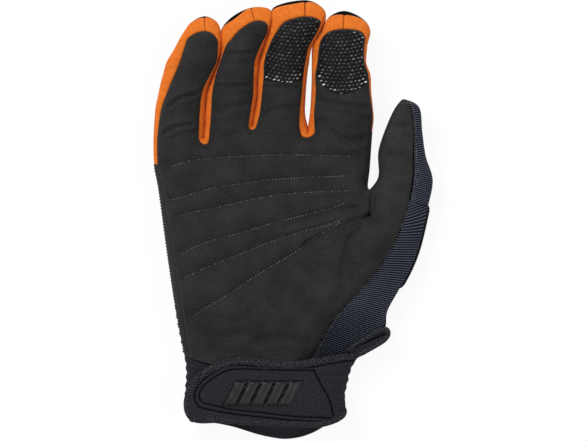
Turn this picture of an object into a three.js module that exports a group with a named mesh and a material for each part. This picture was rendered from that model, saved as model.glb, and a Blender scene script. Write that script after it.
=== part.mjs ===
// A right-hand motocross glove that lies on its back with the palm up.
// Millimetres. +X points to the thumb side, +Y to the fingertips and +Z out of the palm.
// The origin is on the flat of the back, under the middle of the palm.
// The glove is a sewn shell: leather palm sheets, side walls between the fingers and a dished back.
// Palm-side sheets end on the seam line, back sheets end on the rim, and the walls join seam to rim.
import * as THREE from "three";

// Fabric and clearances
const LEATHER = 1.3;
const BACK_FABRIC = 2.0;
const WALL = 1.3;
const GRIP = 0.7;
const GUARD = 1.4;
const CLEARANCE = 0.3;
const CROWN_CLEARANCE = 0.7;
const FLEX_GAP = 0.4;

// Heights of the shell above the table
const SEAM_HEIGHT = 21;
const RIM_HEIGHT = 12;
const PALM_CROWN = 5;
const PALM_RUN = 11;
const BACK_RUN = 13;
const FINGER_CURL = 8;
const THUMB_CURL = 5;
const THUMB_BULGE = 1.5;
const WRIST_DROP = 6;
const WRIST_DROP_START = -48;
const WRIST_DROP_RUN = 25;

// Soft swellings of the palm: place, height and radius
const PADS = [
  { x: 45, y: -8, rise: 4.5, radius: 24 },
  { x: -47, y: -27, rise: 3, radius: 26 },
  { x: -9, y: -3, rise: -2, radius: 22 },
];

// Valleys between neighbouring fingers: where they start, how they run up, how far apart the fingers stand
// at each station, and how deep the crotch dips below the flex lines.
const VALLEY_LITTLE_RING = {
  rootX: -46.5,
  run: [[-45.5, 63.5], [-42.5, 77], [-37.6, 92.1]],
  gaps: [0.7, 0.7, 0.7, 0.7],
  dip: 3.5,
};
const VALLEY_RING_MIDDLE = {
  rootX: -20.3,
  run: [[-18.1, 66.2], [-16.7, 82.4], [-12.7, 96.4]],
  gaps: [1.8, 1.7, 1.1, 0.7],
  dip: 2.1,
};
const VALLEY_MIDDLE_INDEX = {
  rootX: 8.9,
  run: [[9.1, 64.5], [10, 79.1], [12.9, 95]],
  gaps: [1.2, 2.8, 1.8, 1.2],
  dip: 3,
};

// Rim of the outer sides, from the flex line up
const LITTLE_SIDE = { rootX: -74.5, run: [[-72.9, 61.8], [-69.9, 77], [-63.2, 91.5]] };
const INDEX_SIDE = { rootX: 43.6, run: [[44.4, 61.8], [42.4, 78.6], [40.4, 89.9]] };

// Fingers: flex line, the rim and seam round the tip, and the width of the side walls in plan,
// from the flex line up, on the little-finger side and on the thumb side.
const LITTLE = {
  name: "little",
  flexY: 44.6,
  rimTip: [[-55.6, 104.2], [-46.7, 109.6], [-38.6, 104.5]],
  seamTip: [[-55.4, 98], [-46.7, 102.2], [-40, 98]],
  outerBand: [2.1, 3.2, 5.4, 4.7],
  innerBand: [2.9, 2.7, 1.8, 1.5],
};
const RING = {
  name: "ring",
  flexY: 51,
  rimTip: [[-34.3, 108], [-22.4, 114.7], [-10.6, 112]],
  seamTip: [[-28.1, 102.9], [-18.6, 107], [-11.9, 104]],
  outerBand: [2.7, 2.5, 1.6, 1.5],
  innerBand: [1.8, 2, 2.9, 2],
};
const MIDDLE = {
  name: "middle",
  flexY: 51,
  rimTip: [[-7.4, 113.9], [6.2, 118.6], [17.8, 109.9]],
  seamTip: [[-3.8, 106.9], [6.8, 110.1], [15.9, 106.9]],
  outerBand: [1.5, 1.7, 2.2, 1.7],
  innerBand: [3.8, 2, 2.6, 2.2],
};
const INDEX = {
  name: "index",
  flexY: 47.8,
  rimTip: [[20.6, 108.4], [30, 113.1], [42.4, 103.1]],
  seamTip: [[18.6, 100.2], [27.8, 102.7], [39.7, 99.4]],
  outerBand: [3.4, 2.3, 2.9, 2.5],
  innerBand: [1.2, 1.8, 2.4, 1.5],
};
const FINGERS = [LITTLE, RING, MIDDLE, INDEX];

// A crotch is a U: its shoulders stand a share of the dip above its lowest point,
// each a share of its width from the middle.
const CROTCH_SHOULDER_RISE = 0.5;
const CROTCH_SHOULDER_REACH = 0.375;
const SLOT_SHOULDER_RISE = 0.2;

// The side walls of a fingertip meet in a seam, open by this share of an edge step
const TIP_SEAM_SHARE = 0.15;

// Thumb: its flex line runs from the crotch to the outer rim
const THUMB = {
  crotch: [42.1, 16.5],
  base: [74, 8],
  leftRun: [[47, 24], [47.1, 38.1], [53.2, 55.4]],
  rimTip: [[58.1, 63.7], [61.8, 65.2], [69.1, 60.8]],
  seamTip: [[58.3, 62.4], [60.8, 63.7], [63.5, 61.8]],
  rightRun: [[76.4, 21.9], [72.6, 34.8], [70.7, 47.8]],
  outerBand: [1.1, 1, 1.2, 1.1],
  innerBand: [11, 11.4, 7.4, 5.3],
};

// Edges of the hand below the fingers
const HAND_LEFT = [[-74.2, 30], [-71.6, 15.4], [-67.2, -17], [-61.8, -52.7], [-57.6, -73]];
const HAND_LEFT_BAND = [2.1, 2.3, 3, 3.4, 2.6];
const HAND_RIGHT = [[43, 38.1], [42.2, 27.3], [41.2, 18.6]];
const HAND_RIGHT_BAND = 1.2;
const LITTLE_SIDE_END = 30;
const HEEL_RIM = [[69, -13.4], [64.2, -26.2], [57.9, -37.8], [52, -48.6], [51.3, -58.8]];
const HEEL_SEAM = [[55.4, -11.1], [44.6, -27.8], [31.1, -43.5], [20.8, -55.4], [12.2, -71]];
const HEEL_BULGE = 3;
const GUARD_FROM = 0.62;
const GUARD_LENGTH = 0.62;

// Wrist, cuff and closing strap
const HAND_END = -73;
const CUFF_LEFT = [[-58.2, -84], [-58.6, -98], [-56.2, -108.6]];
const CUFF_RIGHT = [[48.2, -68.3], [36, -75.6], [31, -85], [30, -97], [30.4, -109.4]];
const CUFF_TAIL = [[-33.2, -110.7], [-19.7, -115.3], [-3.5, -118.5], [10, -116.4]];
const CUFF_LEVEL = 17.6;
const CUFF_FABRIC = 1.2;
const CUFF_PALM_END = -107.5;
const WRIST_X = -15.5;
const WRIST_HALF = 43;
const STRAP_TOP = -74;
const STRAP_BOTTOM = -110.4;
const STRAP_TIP = -58.4;
const STRAP_HINGE = 26.8;
const NOSE_LENGTH = 29;
const NOSE_HEIGHT = 27;
const CORNER_LENGTH = 7;
const STRAP_FABRIC = 1.8;
const BINDING_WIDTH = 4.6;
const BINDING_RISE = 1.1;
const LOOP = { fromX: -49, toX: 14, fromY: -105, toY: -80, thick: 1 };
const HOOK = { fromX: -45, toX: -4, fromY: -102, toY: -84, thick: 0.9 };
const EMBLEM = { x: -15.5, y: -93, length: 37, height: 14, slant: 7, thick: 1, rib: 0.8, ribPitch: 7.4 };
const TAB = [[39, -70.2], [51, -61.4], [53.6, -62.6], [49, -67.4], [38.4, -73.4]];
const TAB_THICK = 1.6;
const TAB_DROP = 5;
const TAB_RISE = 0.5;
const TAB_ROOT = 1.6;
const ANCHOR_INSET = 2;

// Silicone grip patches on two fingertips: how far down from the tip seam and in from the seam
const GRIP_INSET = 1.2;
const INDEX_GRIP = 35;
const MIDDLE_GRIP = 36;

// Fineness of the facets
const SHEET_STEP = 9;
const FINGER_STEP = 6;
const GRIP_STEP = 4;
const EDGE_STEPS = 32;
const HEEL_ROWS = 4;
const GUARD_ROWS = 2;
const THUMB_MESH_ROWS = 3;
const RING_SHARES = [0.25, 0.65];

// Looks
const LEATHER_BLACK = new THREE.MeshStandardMaterial({ color: 0x2f2f31, roughness: 0.75 });
const ORANGE = new THREE.MeshStandardMaterial({ color: 0xe0762a, roughness: 0.8 });
const NAVY_MESH = new THREE.MeshStandardMaterial({ color: 0x353942, roughness: 0.9 });
const BACK_BLACK = new THREE.MeshStandardMaterial({ color: 0x1d1e21, roughness: 0.9 });
const CUFF_BLACK = new THREE.MeshStandardMaterial({ color: 0x1f2125, roughness: 0.95 });
const STRAP_BLACK = new THREE.MeshStandardMaterial({ color: 0x2b2c30, roughness: 0.85 });
const RUBBER = new THREE.MeshStandardMaterial({ color: 0x18191b, roughness: 0.5 });
const SILICONE = new THREE.MeshStandardMaterial({ color: 0x303033, roughness: 0.25 });

const glove = new THREE.Group();

// Curves and distances in plan

function along(points, steps) {
  const curve = new THREE.SplineCurve(points.map(([x, y]) => new THREE.Vector2(x, y)));
  return curve.getPoints(steps);
}

function distanceTo(lines, x, y) {
  const here = new THREE.Vector3(x, y, 0);
  const near = new THREE.Vector3();
  const piece = new THREE.Line3();
  let best = Infinity;
  for (const line of lines) {
    for (let i = 1; i < line.length; i++) {
      piece.start.set(line[i - 1].x, line[i - 1].y, 0);
      piece.end.set(line[i].x, line[i].y, 0);
      piece.closestPointToPoint(here, true, near);
      best = Math.min(best, near.distanceTo(here));
    }
  }
  return best;
}

function inside(outline, x, y) {
  let odd = false;
  for (let i = 0, j = outline.length - 1; i < outline.length; j = i++) {
    const a = outline[i];
    const b = outline[j];
    if (a.y > y !== b.y > y && x < ((b.x - a.x) * (y - a.y)) / (b.y - a.y) + a.x) odd = !odd;
  }
  return odd;
}

function spaced(outline, step) {
  const points = [];
  outline.forEach((a, i) => {
    const b = outline[(i + 1) % outline.length];
    const count = Math.max(1, Math.ceil(a.distanceTo(b) / step));
    for (let k = 0; k < count; k++) points.push(a.clone().lerp(b, k / count));
  });
  return points.filter((p, i) => p.distanceTo(points[(i + 1) % points.length]) > 0.02);
}

// Delaunay triangles of a set of points in plan, by adding one point at a time
function delaunay(points) {
  const far = 1e4;
  const frame = [[-far, -far], [far, -far], [0, far]].map(([x, y]) => new THREE.Vector2(x, y));
  const all = [...points, ...frame];
  const triangle = (a, b, c) => {
    const p = all[a];
    const q = all[b].clone().sub(p);
    const r = all[c].clone().sub(p);
    const d = 2 * (q.x * r.y - q.y * r.x);
    const x = (r.y * q.lengthSq() - q.y * r.lengthSq()) / d;
    const y = (q.x * r.lengthSq() - r.x * q.lengthSq()) / d;
    return { corners: [a, b, c], x: p.x + x, y: p.y + y, reach: x * x + y * y };
  };
  let triangles = [triangle(points.length, points.length + 1, points.length + 2)];
  points.forEach((p, index) => {
    const edges = new Map();
    triangles = triangles.filter((t) => {
      if ((p.x - t.x) ** 2 + (p.y - t.y) ** 2 >= t.reach) return true;
      t.corners.forEach((a, k) => {
        const b = t.corners[(k + 1) % 3];
        if (!edges.delete(b + "," + a)) edges.set(a + "," + b, [a, b]);
      });
      return false;
    });
    for (const [a, b] of edges.values()) triangles.push(triangle(a, b, index));
  });
  return triangles.map((t) => t.corners).filter((c) => c.every((i) => i < points.length));
}

// Solids

function solid(positions, faces) {
  const geometry = new THREE.BufferGeometry();
  geometry.setAttribute("position", new THREE.Float32BufferAttribute(positions.flat(), 3));
  geometry.setIndex(faces.flat());
  geometry.computeVertexNormals();
  return geometry;
}

// Points on lines that follow the border at given distances inside it
function ringPoints(border, closed, distances, spacing) {
  const turn = THREE.ShapeUtils.area(border) > 0 ? 1 : -1;
  const points = [];
  for (const distance of distances) {
    border.forEach((p, i) => {
      const before = border.at(i - 1);
      const after = border[(i + 1) % border.length];
      const way = after.clone().sub(before).normalize();
      const place = new THREE.Vector2(p.x - way.y * turn * distance, p.y + way.x * turn * distance);
      const clear = distanceTo(closed, place.x, place.y) > distance * 0.94;
      const apart = points.every((q) => q.distanceTo(place) > spacing);
      if (clear && apart && inside(border, place.x, place.y)) points.push(place);
    });
  }
  return points;
}

// A sheet with a given outline in plan, between two heights that vary over the plan.
// Rings of points near the border follow its crown, and an even grid fills the middle.
function sheet(outline, top, bottom, step, rings = []) {
  const border = spaced(outline, step * 0.7);
  const closed = [[...border, border[0]]];
  const points = [...border, ...ringPoints(border, closed, rings, step * 0.42)];
  const box = new THREE.Box2().setFromPoints(border);
  const rowStep = (step * Math.sqrt(3)) / 2;
  const margin = Math.max(0, ...rings) + step * 0.45;
  for (let row = 1; box.min.y + row * rowStep < box.max.y; row++) {
    const y = box.min.y + row * rowStep;
    for (let x = box.min.x + (row % 2 ? step / 2 : step); x < box.max.x; x += step) {
      if (inside(border, x, y) && distanceTo(closed, x, y) > margin) points.push(new THREE.Vector2(x, y));
    }
  }
  const count = points.length;
  const kept = delaunay(points).filter(([a, b, c]) => {
    const middle = points[a].clone().add(points[b]).add(points[c]).divideScalar(3);
    return inside(border, middle.x, middle.y);
  });
  const positions = [
    ...points.map((p) => [p.x, p.y, top(p.x, p.y)]),
    ...points.map((p) => [p.x, p.y, bottom(p.x, p.y)]),
  ];
  const faces = [];
  const open = new Map();
  for (const [a, b, c] of kept) {
    faces.push([a, b, c], [a + count, c + count, b + count]);
    for (const [from, to] of [[a, b], [b, c], [c, a]]) {
      if (!open.delete(to + "," + from)) open.set(from + "," + to, [from, to]);
    }
  }
  for (const [a, b] of open.values()) faces.push([a, a + count, b + count], [a, b + count, b]);
  return solid(positions, faces);
}

// A strip that runs along two lines, from an upper one to a lower one. "out" has one direction for each step,
// along which the strip lies between two distances. It starts a share of the way down, and its middle swells
// by "bulge" upwards and half as much outwards.
function strip(upper, lower, out, from, to, rows = 1, bulge = 0, start = 0) {
  const positions = [];
  const faces = [];
  const place = (i, k, distance) => {
    const v = start + ((1 - start) * k) / rows;
    const swell = bulge * Math.sin(Math.PI * v);
    const p = upper[i].clone().lerp(lower[i], v).addScaledVector(out[i], distance);
    const side = new THREE.Vector2(out[i].x, out[i].y).setLength(swell / 2);
    return [p.x + side.x, p.y + side.y, p.z + swell];
  };
  const ring = 2 * (rows + 1);
  upper.forEach((_, i) => {
    for (let k = 0; k <= rows; k++) positions.push(place(i, k, to));
    for (let k = rows; k >= 0; k--) positions.push(place(i, k, from));
  });
  for (let i = 0; i + 1 < upper.length; i++) {
    for (let k = 0; k < ring; k++) {
      const a = i * ring + k;
      const b = i * ring + ((k + 1) % ring);
      faces.push([a, b, b + ring], [a, b + ring, a + ring]);
    }
  }
  for (let k = 0; k < rows; k++) {
    const other = ring - 1 - k;
    const last = (upper.length - 1) * ring;
    faces.push([k, other, other - 1], [k, other - 1, k + 1]);
    faces.push([last + k, last + other - 1, last + other], [last + k, last + k + 1, last + other - 1]);
  }
  const geometry = solid(positions, faces);
  return signedVolume(geometry) < 0 ? turned(positions, faces) : geometry;
}

function signedVolume(geometry) {
  const position = geometry.getAttribute("position");
  const index = geometry.getIndex();
  const corner = (n) => new THREE.Vector3().fromBufferAttribute(position, index.getX(n));
  let volume = 0;
  for (let n = 0; n < index.count; n += 3) volume += corner(n).dot(corner(n + 1).cross(corner(n + 2))) / 6;
  return volume;
}

function turned(positions, faces) {
  return solid(positions, faces.map(([a, b, c]) => [a, c, b]));
}

function piece(name, geometry, material) {
  const mesh = new THREE.Mesh(geometry, material);
  mesh.name = name;
  glove.add(mesh);
}

// Pattern lines in plan

const unit = ([ax, ay], [bx, by]) => new THREE.Vector2(bx - ax, by - ay).normalize();
const shifted = ([x, y], direction, distance) => [x + direction.x * distance, y + direction.y * distance];
const asPair = (p) => [p.x, p.y];

function valleySide(valley, flexY, side) {
  const points = [[valley.rootX, flexY + FLEX_GAP / 2], ...valley.run];
  return points.map(([x, y], i) => [x + (side * valley.gaps[i]) / 2, y]);
}

function outerSide(side, flexY) {
  return [[side.rootX, flexY + FLEX_GAP / 2], ...side.run];
}

function digit(name, left, right, spec, across) {
  const rimPoints = [...left, ...spec.rimTip, ...[...right].reverse()];
  const seamPoints = [
    ...left.map((p, i) => shifted(p, across, spec.outerBand[i])),
    ...spec.seamTip,
    ...right.map((p, i) => shifted(p, across, -spec.innerBand[i])).reverse(),
  ];
  return { name, rim: along(rimPoints, EDGE_STEPS), seam: along(seamPoints, EDGE_STEPS) };
}

const ACROSS = new THREE.Vector2(1, 0);
const sides = [
  [outerSide(LITTLE_SIDE, LITTLE.flexY), valleySide(VALLEY_LITTLE_RING, LITTLE.flexY, -1)],
  [valleySide(VALLEY_LITTLE_RING, RING.flexY, 1), valleySide(VALLEY_RING_MIDDLE, RING.flexY, -1)],
  [valleySide(VALLEY_RING_MIDDLE, MIDDLE.flexY, 1), valleySide(VALLEY_MIDDLE_INDEX, MIDDLE.flexY, -1)],
  [valleySide(VALLEY_MIDDLE_INDEX, INDEX.flexY, 1), outerSide(INDEX_SIDE, INDEX.flexY)],
];
const fingers = FINGERS.map((spec, i) => digit(spec.name, sides[i][0], sides[i][1], spec, ACROSS));
const thumbAcross = unit(THUMB.crotch, THUMB.base);
const thumbAxis = new THREE.Vector2(-thumbAcross.y, thumbAcross.x);
const thumb = digit(
  "thumb",
  [shifted(THUMB.crotch, thumbAxis, FLEX_GAP / 2), ...THUMB.leftRun],
  [shifted(THUMB.base, thumbAxis, FLEX_GAP / 2), ...THUMB.rightRun],
  THUMB,
  thumbAcross,
);

// The hand's own edges meet the digits half a gap below each flex line
const down = (p, direction) => asPair(p.clone().addScaledVector(direction, -FLEX_GAP));
const UP = new THREE.Vector2(0, 1);
const handRoots = fingers.map(({ rim, seam }) => ({
  rimLeft: down(rim[0], UP),
  rimRight: down(rim.at(-1), UP),
  seamLeft: down(seam[0], UP),
  seamRight: down(seam.at(-1), UP),
}));
const thumbRoot = {
  rimLeft: down(thumb.rim[0], thumbAxis),
  rimRight: down(thumb.rim.at(-1), thumbAxis),
  seamLeft: down(thumb.seam[0], thumbAxis),
  seamRight: down(thumb.seam.at(-1), thumbAxis),
};
const valleys = [VALLEY_LITTLE_RING, VALLEY_RING_MIDDLE, VALLEY_MIDDLE_INDEX];
const crotches = valleys.map((valley, i) => {
  const a = handRoots[i];
  const b = handRoots[i + 1];
  const low = Math.min(a.seamRight[1], b.seamLeft[1]) - valley.dip;
  const middleX = (a.seamRight[0] + b.seamLeft[0]) / 2;
  const reach = (b.seamLeft[0] - a.seamRight[0]) * CROTCH_SHOULDER_REACH;
  const shoulder = low + valley.dip * CROTCH_SHOULDER_RISE;
  const seam = [
    a.seamRight,
    [middleX - reach, shoulder],
    [middleX, low],
    [middleX + reach, shoulder],
    b.seamLeft,
  ];
  const slot = Math.min(a.rimRight[1], b.rimLeft[1]) - valley.gaps[0];
  const slotX = (a.rimRight[0] + b.rimLeft[0]) / 2;
  const slotReach = valley.gaps[0] / 3;
  const rim = [
    a.rimRight,
    [slotX - slotReach, slot + SLOT_SHOULDER_RISE],
    [slotX, slot],
    [slotX + slotReach, slot + SLOT_SHOULDER_RISE],
    b.rimLeft,
  ];
  return { seam: along(seam, 12), rim: along(rim, 12) };
});
const leftRim = along([handRoots[0].rimLeft, ...HAND_LEFT], EDGE_STEPS);
const leftSeam = along(
  [handRoots[0].seamLeft, ...HAND_LEFT.map((p, i) => shifted(p, ACROSS, HAND_LEFT_BAND[i]))],
  EDGE_STEPS,
);
const rightRim = along([handRoots[3].rimRight, ...HAND_RIGHT], 12);
const rightInside = HAND_RIGHT.map((p) => shifted(p, ACROSS, -HAND_RIGHT_BAND));
const rightSeam = along([handRoots[3].seamRight, ...rightInside], 12);
const heelRim = along([thumbRoot.rimRight, ...HEEL_RIM], EDGE_STEPS);
const heelSeam = along([thumbRoot.seamRight, ...HEEL_SEAM], EDGE_STEPS);
const cuffLeft = along([HAND_LEFT.at(-1), ...CUFF_LEFT], 12);
const cuffRight = along([HEEL_RIM.at(-1), ...CUFF_RIGHT], 18);

const seamLines = [
  ...fingers.map((f) => f.seam),
  thumb.seam,
  ...crotches.map((c) => c.seam),
  leftSeam,
  rightSeam,
  heelSeam,
];
const rimLines = [
  ...fingers.map((f) => f.rim),
  thumb.rim,
  ...crotches.map((c) => c.rim),
  leftRim,
  rightRim,
  heelRim,
  cuffLeft,
  cuffRight,
];

// Heights over the plan

const flat = () => 0;
const smooth = (t) => THREE.MathUtils.smoothstep(t, 0, 1);
const rounded = (t) => 1 - (1 - Math.min(t, 1)) ** 2;

function fingerLift(spec) {
  const length = spec.rimTip[1][1] - spec.flexY;
  return (x, y) => FINGER_CURL * Math.max(0, (y - spec.flexY) / length) ** 2;
}

const thumbReach = (x, y) => (x - THUMB.crotch[0]) * thumbAxis.x + (y - THUMB.crotch[1]) * thumbAxis.y;
const thumbLength = thumbReach(...THUMB.rimTip[1]);
function thumbLift(x, y) {
  const reach = thumbReach(x, y);
  return THUMB_CURL * Math.max(0, reach / thumbLength) ** 2;
}

function seamHeight(x, y, lift) {
  const drop = WRIST_DROP * smooth((WRIST_DROP_START - y) / WRIST_DROP_RUN);
  let pad = 0;
  for (const p of PADS) pad += p.rise * Math.exp(-((x - p.x) ** 2 + (y - p.y) ** 2) / p.radius ** 2);
  return SEAM_HEIGHT + pad - drop + lift(x, y);
}

function palmTop(x, y, lift) {
  return seamHeight(x, y, lift) + PALM_CROWN * rounded(distanceTo(seamLines, x, y) / PALM_RUN);
}

function backBottom(x, y, lift) {
  const near = Math.min(distanceTo(rimLines, x, y) / BACK_RUN, 1);
  return (RIM_HEIGHT - BACK_FABRIC) * (1 - near) ** 2 + lift(x, y);
}

// Wrist layers arch down from the middle of the wrist to the rim at its sides
const wristArch = CUFF_LEVEL - RIM_HEIGHT - CLEARANCE;
function cuffLevel(x, level) {
  return level - wristArch * Math.abs((x - WRIST_X) / WRIST_HALF) ** 3;
}

// Pieces

const crownRings = (run) => RING_SHARES.map((share) => share * run);

function palmSheet(name, outline, lift, step) {
  const top = (x, y) => palmTop(x, y, lift);
  const bottom = (x, y) => top(x, y) - LEATHER;
  piece(name, sheet(outline, top, bottom, step, crownRings(PALM_RUN)), LEATHER_BLACK);
}

function backSheet(name, outline, lift, step, material = BACK_BLACK) {
  const bottom = (x, y) => backBottom(x, y, lift);
  const top = (x, y) => bottom(x, y) + BACK_FABRIC;
  piece(name, sheet(outline, top, bottom, step, crownRings(BACK_RUN)), material);
}

// A wall between seam and rim, seated under the leather and on the back
function wall(name, seam, rim, lift, material, rows = 1, bulge = 0) {
  const { upper, lower } = wallSpan(seam, rim, lift);
  piece(name, strip(upper, lower, outward(seam, rim), -WALL, 0, rows, bulge), material);
}

function wallSpan(seam, rim, lift, seat = CLEARANCE) {
  const under = (x, y) => seamHeight(x, y, lift) - LEATHER - CLEARANCE;
  const upper = seam.map((p) => new THREE.Vector3(p.x, p.y, under(p.x, p.y)));
  const lower = rim.map((p) => new THREE.Vector3(p.x, p.y, RIM_HEIGHT + lift(p.x, p.y) + seat));
  return { upper, lower };
}

// The way out of the glove at each step of a wall: level, square to the seam and towards the rim
function outward(seam, rim) {
  return seam.map((p, i) => {
    const next = seam[Math.min(i + 1, seam.length - 1)];
    const before = seam[Math.max(i - 1, 0)];
    const run = next.clone().sub(before).normalize();
    const square = new THREE.Vector2(run.y, -run.x);
    if (square.dot(rim[i].clone().sub(p)) < 0) square.negate();
    return new THREE.Vector3(square.x, square.y, 0);
  });
}

// The same for a wide, shallow wall: square to its slope, so mostly upwards
function upward({ upper, lower }, out) {
  return out.map((way, i) => {
    const span = lower[i].clone().sub(upper[i]);
    const across = span.dot(way);
    return way.clone().multiplyScalar(-span.z).setZ(across).normalize();
  });
}

function makeDigit({ name, seam, rim }, lift, outerName, innerName, innerMaterial, rows, bulge) {
  const tip = EDGE_STEPS / 2;
  palmSheet(name + "_front", seam, lift, FINGER_STEP);
  backSheet(name + "_back", rim, lift, FINGER_STEP);
  const before = (line) => [...line.slice(0, tip), line[tip].clone().lerp(line[tip - 1], TIP_SEAM_SHARE)];
  const after = (line) => [line[tip].clone().lerp(line[tip + 1], TIP_SEAM_SHARE), ...line.slice(tip + 1)];
  wall(outerName, before(seam), before(rim), lift, name === "thumb" ? LEATHER_BLACK : ORANGE);
  wall(innerName, after(seam), after(rim), lift, innerMaterial, rows, bulge);
}

fingers.forEach((finger, i) => {
  const name = finger.name;
  makeDigit(finger, fingerLift(FINGERS[i]), name + "_outer_wall", name + "_inner_wall", ORANGE, 1, 0);
});
makeDigit(thumb, thumbLift, "thumb_inner_wall", "thumb_mesh_side", NAVY_MESH, THUMB_MESH_ROWS, THUMB_BULGE);

// Silicone grip over the top of a fingertip
function gripPatch(name, finger, spec, reach) {
  const lift = fingerLift(spec);
  const end = spec.seamTip[1][1] - reach;
  const centre = finger.seam.reduce((sum, p) => sum.add(p), new THREE.Vector2());
  centre.divideScalar(finger.seam.length);
  const within = finger.seam.filter((p) => p.y > end);
  const outline = within.map((p) => {
    const inward = new THREE.Vector2(Math.sign(centre.x - p.x), 0);
    const shoulder = p.y > spec.seamTip[0][1] - GRIP_INSET;
    const towards = shoulder ? centre.clone().sub(p).normalize() : inward;
    return p.clone().addScaledVector(towards, GRIP_INSET);
  });
  const bottom = (x, y) => palmTop(x, y, lift) + CROWN_CLEARANCE;
  const top = (x, y) => bottom(x, y) + GRIP;
  piece(name, sheet(outline, top, bottom, GRIP_STEP, crownRings(PALM_RUN - GRIP_INSET)), SILICONE);
}
gripPatch("middle_grip", fingers[2], MIDDLE, MIDDLE_GRIP);
gripPatch("index_grip", fingers[3], INDEX, INDEX_GRIP);

// Palm leather and the back of the hand
const top4 = (line) => handRoots.flatMap((root, i) => {
  const between = i < crotches.length ? crotches[i][line].slice(1, -1) : [];
  const left = new THREE.Vector2(...root[line + "Left"]);
  const right = new THREE.Vector2(...root[line + "Right"]);
  return [left, right, ...between];
});
const toWrist = (line) => line.filter((p) => p.y > HAND_END);
palmSheet(
  "palm_panel",
  [
    ...toWrist(leftSeam).slice(1).reverse(),
    ...top4("seam"),
    ...rightSeam.slice(1),
    new THREE.Vector2(...thumbRoot.rimLeft),
    ...toWrist(heelSeam),
  ],
  flat,
  SHEET_STEP,
);
backSheet(
  "hand_back",
  [
    ...toWrist(leftRim).slice(1).reverse(),
    ...top4("rim"),
    ...rightRim.slice(1),
    new THREE.Vector2(...thumbRoot.rimLeft),
    ...heelRim,
    new THREE.Vector2(WRIST_X, HAND_END),
  ],
  flat,
  SHEET_STEP,
);

// Walls of the hand
const above = leftSeam.findIndex((p) => p.y < LITTLE_SIDE_END);
wall("little_side_strip", leftSeam.slice(0, above), leftRim.slice(0, above), flat, ORANGE);
const sideSeam = toWrist(leftSeam);
const sideRim = leftRim.slice(0, sideSeam.length);
wall("side_panel", sideSeam.slice(above), sideRim.slice(above), flat, STRAP_BLACK);
["little_ring_gusset", "ring_middle_gusset", "middle_index_gusset"].forEach((name, i) => {
  wall(name, crotches[i].seam, crotches[i].rim, flat, ORANGE);
});
wall("index_side_panel", rightSeam, rightRim, flat, LEATHER_BLACK);

// Mesh over the heel of the thumb, and a rubber guard that wraps its outer edge
const heel = wallSpan(heelSeam, heelRim, flat, CLEARANCE + WALL);
const heelUp = upward(heel, outward(heelSeam, heelRim));
piece("heel_mesh", strip(heel.upper, heel.lower, heelUp, -WALL, 0, HEEL_ROWS, HEEL_BULGE), NAVY_MESH);
const guarded = Math.round(EDGE_STEPS * GUARD_LENGTH);
const overGuard = (line) => line.slice(1, guarded);
const guardBand = strip(
  overGuard(heel.upper),
  overGuard(heel.lower),
  overGuard(heelUp),
  CROWN_CLEARANCE,
  CROWN_CLEARANCE + GUARD,
  GUARD_ROWS,
  HEEL_BULGE,
  GUARD_FROM,
);
piece("thumb_base_guard", guardBand, RUBBER);

// Cuff: the back reaches past the strap as a tail, the palm side lies under the strap
const cuffBackOutline = [
  ...cuffLeft.slice(1),
  ...along([CUFF_LEFT.at(-1), ...CUFF_TAIL, CUFF_RIGHT.at(-1)], 20).slice(1, -1),
  ...[...cuffRight].reverse().slice(0, -1),
  new THREE.Vector2(HEEL_RIM.at(-1)[0], HEEL_RIM.at(-1)[1] - CLEARANCE),
  new THREE.Vector2(WRIST_X, HAND_END - CLEARANCE),
  new THREE.Vector2(cuffLeft[0].x, HAND_END - CLEARANCE),
];
backSheet("cuff_back", cuffBackOutline, flat, SHEET_STEP, CUFF_BLACK);

// A wrist layer follows the arch of the wrist between two levels
function layer(name, outline, level, thick, material, step = SHEET_STEP, rise = flat) {
  const bottom = (x) => cuffLevel(x, level);
  piece(name, sheet(outline, (x, y) => bottom(x) + thick + rise(x, y), bottom, step), material);
}

const corners = ({ fromX, toX, fromY, toY }, radius = 2) => {
  const shape = new THREE.Path();
  shape.absarc(toX - radius, toY - radius, radius, 0, Math.PI / 2);
  shape.absarc(fromX + radius, toY - radius, radius, Math.PI / 2, Math.PI);
  shape.absarc(fromX + radius, fromY + radius, radius, Math.PI, Math.PI * 1.5);
  shape.absarc(toX - radius, fromY + radius, radius, Math.PI * 1.5, Math.PI * 2);
  return shape.getPoints(4);
};

const loopLevel = CUFF_LEVEL + CUFF_FABRIC + CLEARANCE;
const hookLevel = loopLevel + LOOP.thick + CLEARANCE;
const strapLevel = hookLevel + HOOK.thick + CLEARANCE;
const strapFace = strapLevel + STRAP_FABRIC;
const cuffPalmEdge = STRAP_HINGE - FLEX_GAP;
const cuffPalm = [
  new THREE.Vector2(leftSeam.at(-1).x, HAND_END - CLEARANCE),
  ...along(CUFF_LEFT.map((p) => shifted(p, ACROSS, WALL)), 10).filter((p) => p.y > CUFF_PALM_END),
  new THREE.Vector2(cuffPalmEdge, CUFF_PALM_END),
  new THREE.Vector2(cuffPalmEdge, HAND_END - CLEARANCE),
];
layer("cuff_palm", cuffPalm, CUFF_LEVEL, CUFF_FABRIC, CUFF_BLACK);
layer("loop_patch", corners(LOOP), loopLevel, LOOP.thick, CUFF_BLACK);

// Strap outline: a straight band with a long rounded nose and a tight lower corner
function strapOutline(inset, end) {
  const path = new THREE.Path();
  const top = STRAP_TOP - inset;
  const bottom = STRAP_BOTTOM + inset;
  const nose = STRAP_TIP + NOSE_LENGTH;
  const corner = STRAP_TIP + inset + CORNER_LENGTH - inset / 2;
  const noseEnd = top - NOSE_HEIGHT + inset;
  path.moveTo(end, top);
  path.lineTo(nose, top);
  path.absellipse(nose, noseEnd, NOSE_LENGTH - inset, top - noseEnd, Math.PI / 2, Math.PI);
  path.absellipse(corner, noseEnd, CORNER_LENGTH - inset / 2, noseEnd - bottom, Math.PI, Math.PI * 1.5);
  path.lineTo(end, bottom);
  return path.getPoints(8);
}

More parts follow.
